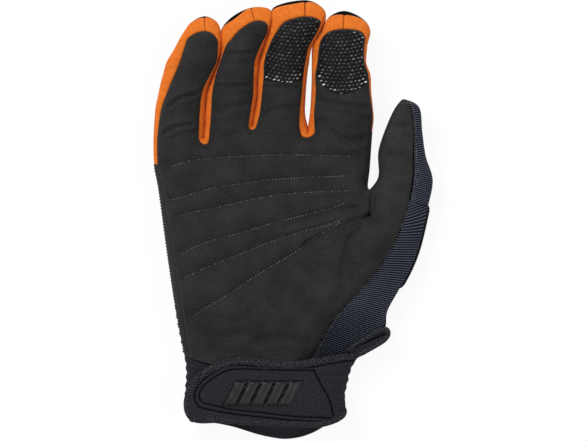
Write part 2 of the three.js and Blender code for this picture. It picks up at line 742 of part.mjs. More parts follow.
const strapEnd = STRAP_HINGE - FLEX_GAP;
const panelOutline = strapOutline(BINDING_WIDTH + CLEARANCE, strapEnd);
layer("strap_panel", panelOutline, strapLevel, STRAP_FABRIC, STRAP_BLACK);
const bindingEdges = [strapOutline(0, strapEnd), strapOutline(BINDING_WIDTH, strapEnd)];
const bindingRise = (x, y) => BINDING_RISE * rounded(distanceTo(bindingEdges, x, y) / (BINDING_WIDTH / 2));
layer(
  "strap_binding",
  [...bindingEdges[0], ...[...bindingEdges[1]].reverse()],
  strapLevel,
  STRAP_FABRIC,
  STRAP_BLACK,
  BINDING_WIDTH,
  bindingRise,
);
layer("strap_hook_patch", corners(HOOK), hookLevel, HOOK.thick, CUFF_BLACK);

// Plain slanted pad with ribs on the face of the strap
const emblemOutline = [[-0.5, -0.5], [0.5, -0.5], [0.5, 0.5], [-0.5, 0.5]].map(([u, v]) => {
  const x = EMBLEM.x + u * EMBLEM.length + v * EMBLEM.slant;
  return new THREE.Vector2(x, EMBLEM.y + v * EMBLEM.height);
});
const emblemRib = (x, y) => {
  const across = x - (EMBLEM.slant * (y - EMBLEM.y)) / EMBLEM.height - EMBLEM.x;
  return EMBLEM.rib * (0.5 + 0.5 * Math.cos((2 * Math.PI * across) / EMBLEM.ribPitch));
};
const ribStep = EMBLEM.ribPitch / 2;
layer("strap_grip", emblemOutline, strapFace + CLEARANCE, EMBLEM.thick, RUBBER, ribStep, emblemRib);

// The strap is sewn to a short anchor on the thumb side, and a tab of it closes the wrist slit
const anchorEnds = [STRAP_TOP - ANCHOR_INSET, STRAP_BOTTOM + ANCHOR_INSET].map((y) => [STRAP_HINGE, y]);
const anchorLine = along(anchorEnds, 12);
const anchorTop = cuffLevel(STRAP_HINGE, strapFace);
const anchorUpper = anchorLine.map((p) => new THREE.Vector3(p.x + WALL, p.y, anchorTop));
const EAST = new THREE.Vector3(1, 0, 0);
const anchorLower = anchorLine.map((p) => new THREE.Vector3(rimAt(p.y), p.y, RIM_HEIGHT + CLEARANCE));
function rimAt(y) {
  const near = cuffRight.reduce((best, p) => (Math.abs(p.y - y) < Math.abs(best.y - y) ? p : best));
  return near.x;
}
piece("strap_anchor", strip(anchorUpper, anchorLower, anchorLine.map(() => EAST), -WALL, 0), STRAP_BLACK);
const tabOutline = [
  new THREE.Vector2(STRAP_HINGE, STRAP_TOP),
  ...along(TAB, 16),
  new THREE.Vector2(STRAP_HINGE, STRAP_TOP - TAB_ROOT),
];
const tabReach = TAB[2][0] - STRAP_HINGE;
const tabBottom = (x) => anchorTop + TAB_RISE - TAB_DROP * ((x - STRAP_HINGE) / tabReach);
piece("wrist_tab", sheet(tabOutline, (x) => tabBottom(x) + TAB_THICK, tabBottom, FINGER_STEP), STRAP_BLACK);

export default glove;
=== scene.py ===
# %% [markdown]
# # A motocross glove, palm up
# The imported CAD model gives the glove's size, its seams and its joints. This lesson dresses it: every sewn
# panel becomes a fine mesh with folds, stitches and a procedural material.
# All patterns below are in millimetres in the frame of the CAD model: +X to the thumb, +Y to the fingertips
# and +Z out of the palm. Meshes are written in metres.

import math

import bpy
import numpy as np
from mathutils.geometry import delaunay_2d_cdt
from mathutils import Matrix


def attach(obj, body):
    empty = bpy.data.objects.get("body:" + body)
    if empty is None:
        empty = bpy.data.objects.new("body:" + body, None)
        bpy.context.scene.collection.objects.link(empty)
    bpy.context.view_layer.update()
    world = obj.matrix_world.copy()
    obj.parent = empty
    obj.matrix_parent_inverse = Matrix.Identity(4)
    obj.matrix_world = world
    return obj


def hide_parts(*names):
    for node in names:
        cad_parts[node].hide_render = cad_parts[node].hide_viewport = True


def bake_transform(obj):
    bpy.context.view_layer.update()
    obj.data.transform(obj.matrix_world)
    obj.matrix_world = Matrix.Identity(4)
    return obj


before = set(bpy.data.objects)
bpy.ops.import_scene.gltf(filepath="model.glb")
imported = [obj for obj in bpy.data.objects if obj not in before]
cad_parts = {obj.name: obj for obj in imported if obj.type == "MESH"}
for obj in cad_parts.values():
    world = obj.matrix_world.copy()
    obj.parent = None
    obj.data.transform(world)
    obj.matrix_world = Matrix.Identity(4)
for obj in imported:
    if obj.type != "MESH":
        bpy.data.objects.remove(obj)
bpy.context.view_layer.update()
MM = 0.001
print("CAD nodes:", len(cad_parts))

# %% [markdown]
# ## Camera, light and table
# The photograph looks straight down on the palm through a long lens, on pure white. A camera high above with
# a narrow view does the same, and a white table with broad soft light keeps a faint shadow under the glove.
# The white comes from the rays that see it and not from more light, so the colours stay as they are written.

# %% Camera
VIEW_WIDTH = 317.5
VIEW_CENTRE_X = 1.35
CAMERA_HEIGHT = 2600
GLOVE_MIDDLE = 16
SENSOR = 36
camera_data = bpy.data.cameras.new("camera")
camera_data.sensor_width = SENSOR
camera_data.lens = SENSOR * CAMERA_HEIGHT / VIEW_WIDTH
camera_data.clip_end = 20
camera = bpy.data.objects.new("camera", camera_data)
camera.location = (VIEW_CENTRE_X * MM, 0, (CAMERA_HEIGHT + GLOVE_MIDDLE) * MM)
bpy.context.scene.collection.objects.link(camera)
bpy.context.scene.camera = camera
bpy.context.scene.view_settings.view_transform = "Standard"
print("Camera lens", round(camera_data.lens), "mm")


# %% Rays that see plain white
def larger(tree, first, second):
    """The larger of two values in a node tree."""
    node = tree.nodes.new("ShaderNodeMath")
    node.operation = "MAXIMUM"
    tree.links.new(first, node.inputs[0])
    tree.links.new(second, node.inputs[1])
    return node.outputs[0]


def white_rays(tree):
    """One for rays of the camera, of reflections and through glass, and zero for those that give light."""
    path = tree.nodes.new("ShaderNodeLightPath")
    seen = larger(tree, path.outputs["Is Camera Ray"], path.outputs["Is Glossy Ray"])
    return larger(tree, seen, path.outputs["Is Transmission Ray"])


def mix_shaders(tree, share, first, second):
    """Mixes two shaders by a share and gives the result."""
    node = tree.nodes.new("ShaderNodeMixShader")
    tree.links.new(share, node.inputs[0])
    tree.links.new(first, node.inputs[1])
    tree.links.new(second, node.inputs[2])
    return node.outputs[0]


# %% White table
TABLE_HALF = 4
TABLE_LEVEL = -0.0002
TABLE_WHITE = 0.98
table_ways = [(-1, -1), (1, -1), (1, 1), (-1, 1)]
table_corners = [(x * TABLE_HALF, y * TABLE_HALF, TABLE_LEVEL) for x, y in table_ways]
table_mesh = bpy.data.meshes.new("table")
table_mesh.from_pydata(table_corners, [], [(0, 1, 2, 3)])
table = bpy.data.objects.new("table", table_mesh)
bpy.context.scene.collection.objects.link(table)
white = bpy.data.materials.new("white_table")
white.use_nodes = True
table_mesh.materials.append(white)
table_tree = white.node_tree
table_paint = table_tree.nodes["Principled BSDF"]
table_paint.inputs["Base Color"].default_value = (TABLE_WHITE, TABLE_WHITE, TABLE_WHITE, 1)
table_paint.inputs["Roughness"].default_value = 0.9
table_paint.inputs["Specular IOR Level"].default_value = 0.0
print("Table:", 2 * TABLE_HALF, "m wide")

# %% Table that stays white and keeps a shadow
SHADOW_SHARE = 0.08
glow = table_tree.nodes.new("ShaderNodeEmission")
glow.inputs["Strength"].default_value = 1
glow_share = table_tree.nodes.new("ShaderNodeMath")
glow_share.operation = "MULTIPLY"
glow_share.inputs[1].default_value = 1 - SHADOW_SHARE
table_tree.links.new(white_rays(table_tree), glow_share.inputs[0])
table_surface = mix_shaders(table_tree, glow_share.outputs[0], table_paint.outputs[0], glow.outputs[0])
table_tree.links.new(table_surface, table_tree.nodes["Material Output"].inputs["Surface"])
print("Shadow share on the table:", SHADOW_SHARE)

# %% Soft sky
SKY = 0.42
world = bpy.data.worlds.new("studio")
bpy.context.scene.world = world
world.use_nodes = True
sky_tree = world.node_tree
sky_light = sky_tree.nodes["Background"]
sky_light.inputs["Color"].default_value = (1, 1, 1, 1)
sky_light.inputs["Strength"].default_value = SKY
plain_white = sky_tree.nodes.new("ShaderNodeBackground")
plain_white.inputs["Color"].default_value = (1, 1, 1, 1)
plain_white.inputs["Strength"].default_value = 1
sky = mix_shaders(sky_tree, white_rays(sky_tree), sky_light.outputs[0], plain_white.outputs[0])
sky_tree.links.new(sky, sky_tree.nodes["World Output"].inputs["Surface"])
print("Sky strength:", SKY)

# %% Softboxes
KEY_POWER = 24
FILL_POWER = 6


def softbox(name, place, size, power):
    """A square area light that points at the middle of the palm."""
    data = bpy.data.lights.new(name, "AREA")
    data.size = size
    data.energy = power
    light = bpy.data.objects.new(name, data)
    light.location = place
    aim = -light.location.normalized()
    light.rotation_euler = aim.to_track_quat("-Z", "Y").to_euler()
    bpy.context.scene.collection.objects.link(light)


softbox("key_softbox", (-0.75, 0.85, 1.45), 0.8, KEY_POWER)
softbox("fill_softbox", (0.9, -0.3, 1.3), 1.2, FILL_POWER)
print("Softboxes:", KEY_POWER, "W and", FILL_POWER, "W")

# %% [markdown]
# ## The sewing pattern
# A glove is cut from flat panels: a leather palm with finger fronts, narrow strips between the fingers and a
# back. The panels meet on two lines that run up and down the fingers: the seam, where the leather ends, and
# the rim, where the back begins. A few points draw each line as a smooth curve. They lie within a millimetre
# of those of the CAD model, and follow the photograph where the two differ.


# %% Curves in plan
def spline(points, count):
    """A smooth curve through the points, of the uniform Catmull-Rom kind that the CAD pattern uses."""
    p = np.asarray(points, float)
    ends = np.vstack([p[0], p, p[-1]])
    t = np.linspace(0, len(p) - 1, count + 1)
    i = np.minimum(t.astype(int), len(p) - 2)
    f = (t - i)[:, None]
    before, start, stop, after = ends[i], ends[i + 1], ends[i + 2], ends[i + 3]
    leave = (stop - before) / 2
    arrive = (after - start) / 2
    cubic = (2 * start - 2 * stop + leave + arrive) * f**3
    square = (3 * stop - 3 * start - 2 * leave - arrive) * f**2
    return cubic + square + leave * f + start


def lengths(line):
    """The distance along a line at each of its points."""
    return np.concatenate([[0], np.cumsum(np.linalg.norm(np.diff(line, axis=0), axis=1))])


def even(line, count):
    """The same line with its points at even distances."""
    way = lengths(line)
    at = np.linspace(0, way[-1], count + 1)
    return np.column_stack([np.interp(at, way, line[:, k]) for k in range(line.shape[1])])


def curve(points, step=0.8):
    """An evenly spaced smooth curve through a few points."""
    fine = spline(points, 40 * len(points))
    return even(fine, max(4, round(lengths(fine)[-1] / step)))


# %% Finger sides
# Each side is the middle of a valley: its root, the points of its run, and the gap between the rims there.
LITTLE_RING = {
    "root": -47, "run": [[-46.4, 58], [-45.4, 69], [-42.5, 78], [-39.4, 85.6], [-37.8, 94]],
    "gaps": [-0.3] * 6, "dip": 3.5,
}
RING_MIDDLE = {
    "root": -21.2, "run": [[-19.8, 58], [-18.4, 69], [-17.9, 78], [-17.5, 85.6], [-14.9, 94]],
    "gaps": [-0.3] * 6, "dip": 2.1,
}
MIDDLE_INDEX = {
    "root": 8.6, "run": [[8.65, 58], [9.2, 69], [9.7, 78], [10.25, 85.6], [11.3, 94]],
    "gaps": [-0.5, 2.6, 2.9, 2.4, 1.4, 0.2], "dip": 3.0,
}
LITTLE_SIDE = {
    "root": -74.6, "run": [[-73.7, 58], [-71.9, 69], [-69.7, 78], [-67.2, 85.6], [-62.4, 94]],
    "gaps": [0] * 6,
}
INDEX_SIDE = {
    "root": 43.7, "run": [[44.2, 58], [43.2, 69], [42.5, 78], [40.4, 85.6], [40.9, 94]],
    "gaps": [0] * 6,
}
print("Widest gap between two fingers:", max(MIDDLE_INDEX["gaps"]), "mm")

# %% Fingers
# The outer and inner values are the widths of the strip between rim and seam, up each side of a finger.
FINGERS = {
    "little": {
        "flex": 44.6, "left": LITTLE_SIDE, "right": LITTLE_RING,
        "rim_tip": [[-58.5, 100.9], [-53.9, 107], [-46.9, 110.1], [-40.6, 107.4], [-38, 101.5]],
        "seam_tip": [[-55.6, 98], [-51.5, 100.6], [-46.3, 101.8], [-42.2, 100.3], [-39.9, 97.2]],
        "outer": [2.2, 3.1, 4.9, 6.5, 7.3, 5.2], "inner": [3.2, 3.3, 2.9, 1.8, 1.1, 2],
    },
    "ring": {
        "flex": 51.0, "left": LITTLE_RING, "right": RING_MIDDLE,
        "rim_tip": [[-38.1, 102.6], [-31.6, 110.2], [-21.5, 114.8], [-12.1, 113.9], [-11, 106.8]],
        "seam_tip": [[-32.2, 97.5], [-27.5, 102.9], [-19.5, 107.3], [-13.6, 106.2], [-13, 101.6]],
        "outer": [3.2, 3.2, 2.8, 1.7, 1.1, 2.6], "inner": [2.2, 2.6, 2.4, 2.6, 2.5, 1.9],
    },
    "middle": {
        "flex": 51.0, "left": RING_MIDDLE, "right": MIDDLE_INDEX,
        "rim_tip": [[-11.5, 106.2], [-9.2, 115.2], [7.6, 118.8], [17.3, 114], [17.9, 105.8]],
        "seam_tip": [[-7.9, 101.8], [-2.8, 107.2], [7.6, 109.8], [15.4, 107.6], [14, 101.8]],
        "outer": [2.3, 2.8, 2.7, 3, 2.9, 3], "inner": [4.7, 2.9, 2.2, 2.1, 2, 1.6],
    },
    "index": {
        "flex": 47.8, "left": MIDDLE_INDEX, "right": INDEX_SIDE,
        "rim_tip": [[16, 101.6], [20, 109.5], [28.6, 113], [38.3, 108.9], [42.6, 102.5]],
        "seam_tip": [[16.5, 98.2], [20.5, 101.6], [28.2, 103], [36.5, 102], [39.5, 98.8]],
        "outer": [4.2, 2.2, 2.4, 1.9, 3, 3.6], "inner": [0.6, 0.6, 1, 1.1, 1, 1.8],
    },
}
print("Fingers:", len(FINGERS))

# %% Rims and seams of the fingers
EAST = np.array([1.0, 0.0])
DIGIT_STEPS = 240


def side_points(side, flex, way):
    """Rim points up one side of a finger, moved off the middle of the valley."""
    points = [[side["root"], flex], *side["run"]]
    return [[x + way * gap / 2, y] for (x, y), gap in zip(points, side["gaps"])]


def digit(left, right, spec, across):
    """The rim and the seam of a digit, from its left root round the tip to its right root."""
    seam_left = [np.array(p) + across * strip for p, strip in zip(left, spec["outer"])]
    seam_right = [np.array(p) - across * strip for p, strip in zip(right, spec["inner"])]
    rim = spline([*left, *spec["rim_tip"], *right[::-1]], DIGIT_STEPS)
    seam = spline([*seam_left, *spec["seam_tip"], *seam_right[::-1]], DIGIT_STEPS)
    return {"rim": rim, "seam": seam}


digits = {}
for finger, spec in FINGERS.items():
    left_points = side_points(spec["left"], spec["flex"], 1)
    right_points = side_points(spec["right"], spec["flex"], -1)
    digits[finger] = digit(left_points, right_points, spec, EAST)
print("Finger outlines:", len(digits))

# %% Thumb
THUMB_CROTCH = np.array([42.1, 16.5])
THUMB_BASE = np.array([74.0, 8.0])
THUMB = {
    "left": [[47, 24], [47.1, 38.1], [53.2, 55.4]],
    "right": [[76.4, 21.9], [72.6, 34.8], [70.7, 47.8]],
    "rim_tip": [[58.1, 63.7], [61.8, 65.2], [69.1, 60.8]],
    "seam_tip": [[58.3, 62.4], [60.8, 63.7], [63.5, 61.8]],
    "outer": [1.1, 1, 1.2, 1.1], "inner": [11, 11.4, 7.4, 5.3],
}
thumb_across = (THUMB_BASE - THUMB_CROTCH) / np.linalg.norm(THUMB_BASE - THUMB_CROTCH)
thumb_axis = np.array([-thumb_across[1], thumb_across[0]])
digits["thumb"] = digit([THUMB_CROTCH, *THUMB["left"]], [THUMB_BASE, *THUMB["right"]], THUMB, thumb_across)
print("Thumb base:", round(float(np.linalg.norm(THUMB_BASE - THUMB_CROTCH))), "mm wide")

# %% Hand
HAND_LEFT = [[-74.2, 30], [-71.6, 15.4], [-67.2, -17], [-61.8, -52.7], [-57.6, -74.2]]
HAND_LEFT_BAND = [2.1, 2.3, 3, 3.4, 2.2]
HAND_RIGHT = [[43, 38.1], [42.2, 27.3], [41.2, 18.6]]
HAND_RIGHT_BAND = 1.2
HEEL_RIM = [[69, -13.4], [64.2, -26.2], [57.9, -37.8], [52, -48.6], [51.2, -55.6]]
HEEL_SEAM = [[55.4, -11.1], [44.6, -27.8], [31.1, -43.5], [20.8, -55.4], [12.2, -71], [8.2, -80.6]]
LEATHER_FOOT = [[-41.3, -78], [-34, -79.5]]
roots = {name: {"left": d["seam"][0], "right": d["seam"][-1]} for name, d in digits.items()}
rim_roots = {name: {"left": d["rim"][0], "right": d["rim"][-1]} for name, d in digits.items()}
hand_left_seam = [[x + width, y] for (x, y), width in zip(HAND_LEFT, HAND_LEFT_BAND)]
hand_right_seam = [[x - HAND_RIGHT_BAND, y] for x, y in HAND_RIGHT]
left_rim = curve([rim_roots["little"]["left"], *HAND_LEFT])
left_seam = curve([roots["little"]["left"], *hand_left_seam])
right_rim = curve([rim_roots["index"]["right"], *HAND_RIGHT, THUMB_CROTCH])
right_seam = curve([roots["index"]["right"], *hand_right_seam, roots["thumb"]["left"]])
heel_rim = curve([rim_roots["thumb"]["right"], *HEEL_RIM])
heel_seam = curve([roots["thumb"]["right"], *HEEL_SEAM])
print("Side of the hand:", round(lengths(left_rim)[-1]), "mm long")

# %% Crotches in plan
CROTCH_STEPS = 60
SHOULDER_REACH = 0.36
SHOULDER_RISE = 0.4
SLOT_DIP = 0.4
crotches = []
names = list(FINGERS)
for valley, a, b in zip([LITTLE_RING, RING_MIDDLE, MIDDLE_INDEX], names, names[1:]):
    from_seam, to_seam = roots[a]["right"], roots[b]["left"]
    low = min(from_seam[1], to_seam[1]) - valley["dip"]
    middle = (from_seam[0] + to_seam[0]) / 2
    reach_x = (to_seam[0] - from_seam[0]) * SHOULDER_REACH
    shoulder = low + valley["dip"] * SHOULDER_RISE
    bottom = [[middle - reach_x, shoulder], [middle, low], [middle + reach_x, shoulder]]
    from_rim, to_rim = rim_roots[a]["right"], rim_roots[b]["left"]
    slot = [(from_rim[0] + to_rim[0]) / 2, min(from_rim[1], to_rim[1]) - SLOT_DIP]
    seam = spline([from_seam, *bottom, to_seam], CROTCH_STEPS)
    crotches.append({"seam": seam, "rim": spline([from_rim, slot, to_rim], CROTCH_STEPS)})
seam_lines = [piece["seam"] for piece in (*digits.values(), *crotches)] + [left_seam, right_seam, heel_seam]
rim_lines = [piece["rim"] for piece in (*digits.values(), *crotches)] + [left_rim, right_rim, heel_rim]
print("Pattern lines:", len(seam_lines), "seams and", len(rim_lines), "rims")

# %% [markdown]
# ## Heights over the plan
# A hand fills the glove, so each leather panel is crowned: it falls towards its seams and the ball of the
# thumb stands up. A height for every point of the plan shapes all the leather at once, so that panels of one
# hide meet without a step where the fingers bend. Sculpting would give the same forms, but it couldn't be
# repeated or changed by a number.


# %% Distances and waves
LOT = 4000
WAVE_COUNT = 7
WAVE_PEAK = 3.2


def near(points, lines):
    """The distance in plan from each point to the nearest of the lines, worked out in lots to save memory."""
    points = np.asarray(points, float)
    best = np.full(len(points), np.inf)
    for line in lines:
        line = np.asarray(line)[:, :2]
        a, b = line[:-1], line[1:]
        run = b - a
        size = np.maximum((run**2).sum(1), 1e-9)
        for lot in range(0, len(points), LOT):
            p = points[lot : lot + LOT]
            t = np.clip(((p[:, None] - a) * run).sum(2) / size, 0, 1)
            gap = np.linalg.norm(p[:, None] - (a + t[..., None] * run), axis=2).min(1)
            best[lot : lot + LOT] = np.minimum(best[lot : lot + LOT], gap)
    return best


def valley_of(gap, depth, width):
    """A rounded hollow of a given depth and half width, at a distance from its line."""
    return -depth * np.exp(-((gap / width) ** 2))


def waves(x, y, size, seed):
    """Smooth irregular waves between about -1 and 1, with hollows of about the given size."""
    chance = np.random.RandomState(seed)
    total = np.zeros_like(x, dtype=float)
    for _ in range(WAVE_COUNT):
        turn = chance.uniform(0, 2 * math.pi)
        rate = 2 * math.pi / (size * chance.uniform(0.7, 1.6))
        start = chance.uniform(0, 2 * math.pi)
        total += np.sin((x * math.cos(turn) + y * math.sin(turn)) * rate + start)
    return total / WAVE_PEAK


def smooth(t):
    """A soft step from 0 to 1."""
    t = np.clip(t, 0, 1)
    return t * t * (3 - 2 * t)


# %% Lift of the digits
FINGER_CURL = 8.0
THUMB_CURL = 5.0


def no_lift(p):
    """The hand lies flat."""
    return np.zeros(len(p))


def finger_lift(finger):
    """How far a finger curls up from its bend line to its tip."""
    flex = FINGERS[finger]["flex"]
    tip = FINGERS[finger]["rim_tip"][2][1]
    return lambda p: FINGER_CURL * np.maximum(0, (p[:, 1] - flex) / (tip - flex)) ** 2


thumb_length = (np.array(THUMB["rim_tip"][1]) - THUMB_CROTCH) @ thumb_axis


def thumb_lift(p):
    """How far the thumb curls up along its own direction."""
    return THUMB_CURL * np.maximum(0, ((p - THUMB_CROTCH) @ thumb_axis) / thumb_length) ** 2


lifts = {finger: finger_lift(finger) for finger in FINGERS}
lifts["thumb"] = thumb_lift
print("Thumb:", round(float(thumb_length)), "mm long")

# %% Height of the seams
SEAM_HEIGHT = 21.0
RIM_HEIGHT = 12.0
WRIST_FALL = 6.0
WRIST_FALL_FROM = -48
WRIST_FALL_RUN = 25
# The ball of the thumb, the heel of the hand and the hollow of the palm: x, y, rise and radius.
PADS = [(45, -8, 4.5, 24), (-47, -27, 3, 26), (-9, -3, -2, 22)]


def seam_height(p, lift):
    """The height of the seams, before the leather's crown."""
    z = SEAM_HEIGHT - WRIST_FALL * smooth((WRIST_FALL_FROM - p[:, 1]) / WRIST_FALL_RUN) + lift(p)
    for x, y, rise, radius in PADS:
        z = z + rise * np.exp(-((p[:, 0] - x) ** 2 + (p[:, 1] - y) ** 2) / radius**2)
    return z


print("Seams:", SEAM_HEIGHT, "mm high")

# %% Stitch rows of the palm
STITCH_ROWS = [
    [[-65.1, 28.9], [-54.8, 32.1], [-38.6, 33.8], [-22.4, 34.8], [-0.8, 35.4], [20.8, 34.8], [31.6, 34.3]],
    [
        [-69.4, 10.6], [-62.9, 11.6], [-54.8, 13.8], [-44, 17], [-27.8, 19.7],
        [-11.6, 21.9], [4.6, 23], [28.9, 24],
    ],
    [
        [-61.8, 1.9], [-54.8, 4.1], [-44, 6.2], [-27.8, 10], [-17, 12.2],
        [-6.2, 13.8], [4.6, 14.9], [26.2, 15.9], [32.7, 16.5],
    ],
    [
        [-61.8, -18.1], [-54.8, -15.4], [-44, -11.1], [-27.8, -6.8], [-17, -3.5],
        [-6.2, -0.3], [4.6, 2.4], [20.8, 6.8], [28.9, 9.5],
    ],
    [
        [-58.1, -31.6], [-54.8, -29.4], [-46.7, -25.7], [-35.9, -21.3], [-22.4, -15.9],
        [-11.6, -11.6], [4.6, -6.2], [20.8, -1.9], [31.6, 3.5],
    ],
    [
        [-53.2, -52.1], [-49.4, -48.9], [-41.3, -44], [-30.5, -37.5], [-19.7, -30],
        [-6.2, -21.9], [4.6, -15.4], [10, -10.5], [18.1, -5.7], [26.2, -0.8],
    ],
]
stitch_lines = [curve(row) for row in STITCH_ROWS]
print("Quilting rows:", len(stitch_lines))

# %% Creases of the palm
# The points of each crease, its depth and its half width.
CREASES = [
    ([[41, 3.5], [34, -0.5], [22, -6.5], [8, -13.5]], 1.6, 1.7),
    ([[41, 2.5], [35, -5], [30, -15], [27, -30]], 1.5, 2.0),
    ([[42, 1], [39.5, -10], [39, -24]], 1.2, 2.2),
    ([[43.2, 17], [42.5, 11], [42.4, 6], [41.8, 3]], 2.4, 0.75),
    ([[46.5, 13], [45.2, 6], [41.8, 1.6]], 0.9, 1.2),
    ([[41, 2.4], [36, -9], [34.5, -20]], 0.9, 1.4),
    ([[40.5, 6.5], [28, 6], [14, 2], [-2, -2.5]], 1.4, 1.8),
    ([[39, 13], [26, 12.4], [10, 9.5]], 0.9, 2.0),
    ([[39, 20], [27, 19.6], [14, 18.8]], 0.6, 2.0),
    ([[-66.5, 61], [-60, 65.5], [-50, 68.5]], 1.6, 1.1),
    ([[-69, 46.5], [-62, 50.4], [-54, 51.3]], 1.6, 1.1),
    ([[-64, 44], [-57, 47], [-51, 47.2]], 0.9, 1.4),
    ([[-41, 72.4], [-31, 72], [-20.5, 72.8]], 1.4, 1.1),
    ([[-36, 89.3], [-27, 89.6], [-17, 90.2]], 1.3, 1.2),
    ([[-40, 58], [-32, 61], [-23, 62]], 0.9, 1.6),
    ([[13.5, 64.8], [26, 62.5], [43, 60]], 1.4, 1.3),
    ([[16.5, 53.5], [22, 46], [31, 42.5], [41, 44.5]], 1.7, 1.9),
    ([[-15, 71.2], [-4, 71.8], [6, 71]], 1.2, 1.1),
    ([[-16, 56], [-7, 59.5], [4, 60.5]], 1.0, 1.7),
    ([[-44, 40.5], [-36, 45], [-27, 46.2]], 0.9, 1.9),
    ([[52, 52], [57, 50.5], [63.5, 51]], 0.9, 1.5),
    ([[49.5, 26], [57, 23.5], [63.5, 24.5]], 1.0, 2.0),
    ([[48, 36], [54, 34.5], [61, 35]], 0.6, 1.8),
    ([[-55, -60], [-40, -63], [-24, -61]], 0.9, 2.6),
    ([[-20, -66], [-6, -63], [8, -66]], 0.7, 2.4),
    ([[33, -24], [30, -34], [24, -44]], 0.9, 2.6),
]
crease_lines = [(curve(points), depth, width) for points, depth, width in CREASES]
print("Creases:", len(crease_lines))

# %% Leather of the palm side
CROWN = 5.0
CROWN_RUN = 11.0
ROLL = 1.3
ROLL_RUN = 1.7
RELIEF_RUN = 3.5
STITCH_DENT = (0.65, 0.75)
QUILT_DENT = (1.2, 3.4)
CREASE_LIP = 0.5
# Height, size and seed of the soft unevenness of the hide.
HIDE_WAVES = [(0.3, 19, 3), (0.1, 6, 4)]


def relief(p):
    """Small hollows of the leather: sewn rows, creases with a raised lip and a soft unevenness."""
    sewn = near(p, stitch_lines)
    z = valley_of(sewn, *STITCH_DENT) + valley_of(sewn, *QUILT_DENT)
    for line, depth, width in crease_lines:
        gap = near(p, [line])
        z = z + valley_of(gap, depth, width) - valley_of(gap - 2 * width, CREASE_LIP * depth, width)
    for height, size, seed in HIDE_WAVES:
        z = z + height * waves(p[:, 0], p[:, 1], size, seed)
    return z


def leather_top(p, lift):
    """The height of the palm-side leather."""
    edge = near(p, seam_lines)
    crown = CROWN * (1 - (1 - np.minimum(edge / CROWN_RUN, 1)) ** 2)
    roll = ROLL * (1 - np.minimum(edge / ROLL_RUN, 1)) ** 2
    return seam_height(p, lift) + crown - roll + relief(p) * smooth(edge / RELIEF_RUN)


def surface_normals(plan, lift, small=0.3):
    """The directions square to the leather, from its slope over a small distance."""
    slope_x = leather_top(plan + [small, 0], lift) - leather_top(plan - [small, 0], lift)
    slope_y = leather_top(plan + [0, small], lift) - leather_top(plan - [0, small], lift)
    square = np.column_stack([-slope_x, -slope_y, np.full(len(plan), 2 * small)])
    return square / np.linalg.norm(square, axis=1)[:, None]


# %% Dish of the back
BACK_RUN = 13.0
BACK_FABRIC = 2.0


def back_bottom(p, lift):
    """The height of the outside of the back, which lies on the table."""
    share = np.minimum(near(p, rim_lines) / BACK_RUN, 1)
    return (RIM_HEIGHT - BACK_FABRIC) * (1 - share) ** 2 + lift(p)


# %% [markdown]
# ## Mesh tools
# Two kinds of panel are enough. A sheet fills an outline with small triangles between two heights. A band is
# a grid that runs along two lines, such as the strip down the side of a finger. Both get a real thickness,
# and a texture map in millimetres, so that every weave has its true size.


# %% Objects
def make(name, points, faces, uv, material):
    """A smooth mesh object from millimetres, with one texture coordinate for each point."""
    mesh = bpy.data.meshes.new(name)
    mesh.from_pydata((np.asarray(points) * MM).tolist(), [], faces)
    layer = mesh.uv_layers.new(name="cloth")
    corner = np.zeros(len(mesh.loops), np.int32)
    mesh.loops.foreach_get("vertex_index", corner)
    layer.data.foreach_set("uv", np.asarray(uv, np.float32)[corner].ravel())
    mesh.materials.append(material)
    mesh.shade_smooth()
    mesh.update()
    thing = bpy.data.objects.new(name, mesh)
    bpy.context.scene.collection.objects.link(thing)
    print(name, "has", len(mesh.polygons), "faces")
    return thing


# %% Outlines
SAME_POINT = 0.02


def inside(points, outline):
    """Which points lie inside a closed outline."""
    x, y = points[:, 0], points[:, 1]
    odd = np.zeros(len(points), bool)
    for a, b in zip(outline, np.roll(outline, -1, axis=0)):
        if a[1] == b[1]:
            continue
        crosses = (a[1] > y) != (b[1] > y)
        odd ^= crosses & (x < (b[0] - a[0]) * (y - a[1]) / (b[1] - a[1]) + a[0])
    return odd


def tidy_outline(parts, step):
    """One closed outline from several lines, with even steps and no doubled points."""
    line = np.vstack([*parts, parts[0][:1]])
    keep = np.concatenate([[True], np.linalg.norm(np.diff(line, axis=0), axis=1) > SAME_POINT])
    line = line[keep]
    pieces = []
    for a, b in zip(line, line[1:]):
        count = max(1, math.ceil(np.linalg.norm(b - a) / step))
        pieces.append(a + (b - a) * (np.arange(count) / count)[:, None])
    return np.vstack(pieces)


# %% Points that fill an outline
EDGE_ROWS = [0.3, 0.7, 1.2, 1.9, 2.8]
LINE_ROWS = [-1.3, -0.75, -0.35, 0, 0.35, 0.75, 1.3]
ROW_RISE = 0.866


def edge_rows(outline, rows):
    """Points in rows inside an outline, which follow its edge at the given distances."""
    ahead = np.roll(outline, -1, axis=0)
    turn = np.sign(np.sum(outline[:, 0] * ahead[:, 1] - ahead[:, 0] * outline[:, 1]))
    run = ahead - np.roll(outline, 1, axis=0)
    run = run / np.linalg.norm(run, axis=1)[:, None]
    inward = np.column_stack([-run[:, 1], run[:, 0]]) * turn
    closed = [np.vstack([outline, outline[:1]])]
    rings = [outline + inward * distance for distance in rows]
    return [
        ring[(near(ring, closed) > distance * 0.97) & inside(ring, outline)]
        for ring, distance in zip(rings, rows)
    ]


def even_grid(outline, step, margin):
    """An even grid of triangles inside an outline, a margin away from its edge."""
    low, high = outline.min(0), outline.max(0)
    lots = []
    for k, y in enumerate(np.arange(low[1], high[1], step * ROW_RISE)):
        x = np.arange(low[0] + (k % 2) * step / 2, high[0], step)
        lots.append(np.column_stack([x, np.full(len(x), y)]))
    grid = np.vstack(lots)
    grid = grid[inside(grid, outline)]
    return grid[near(grid, [np.vstack([outline, outline[:1]])]) > margin]


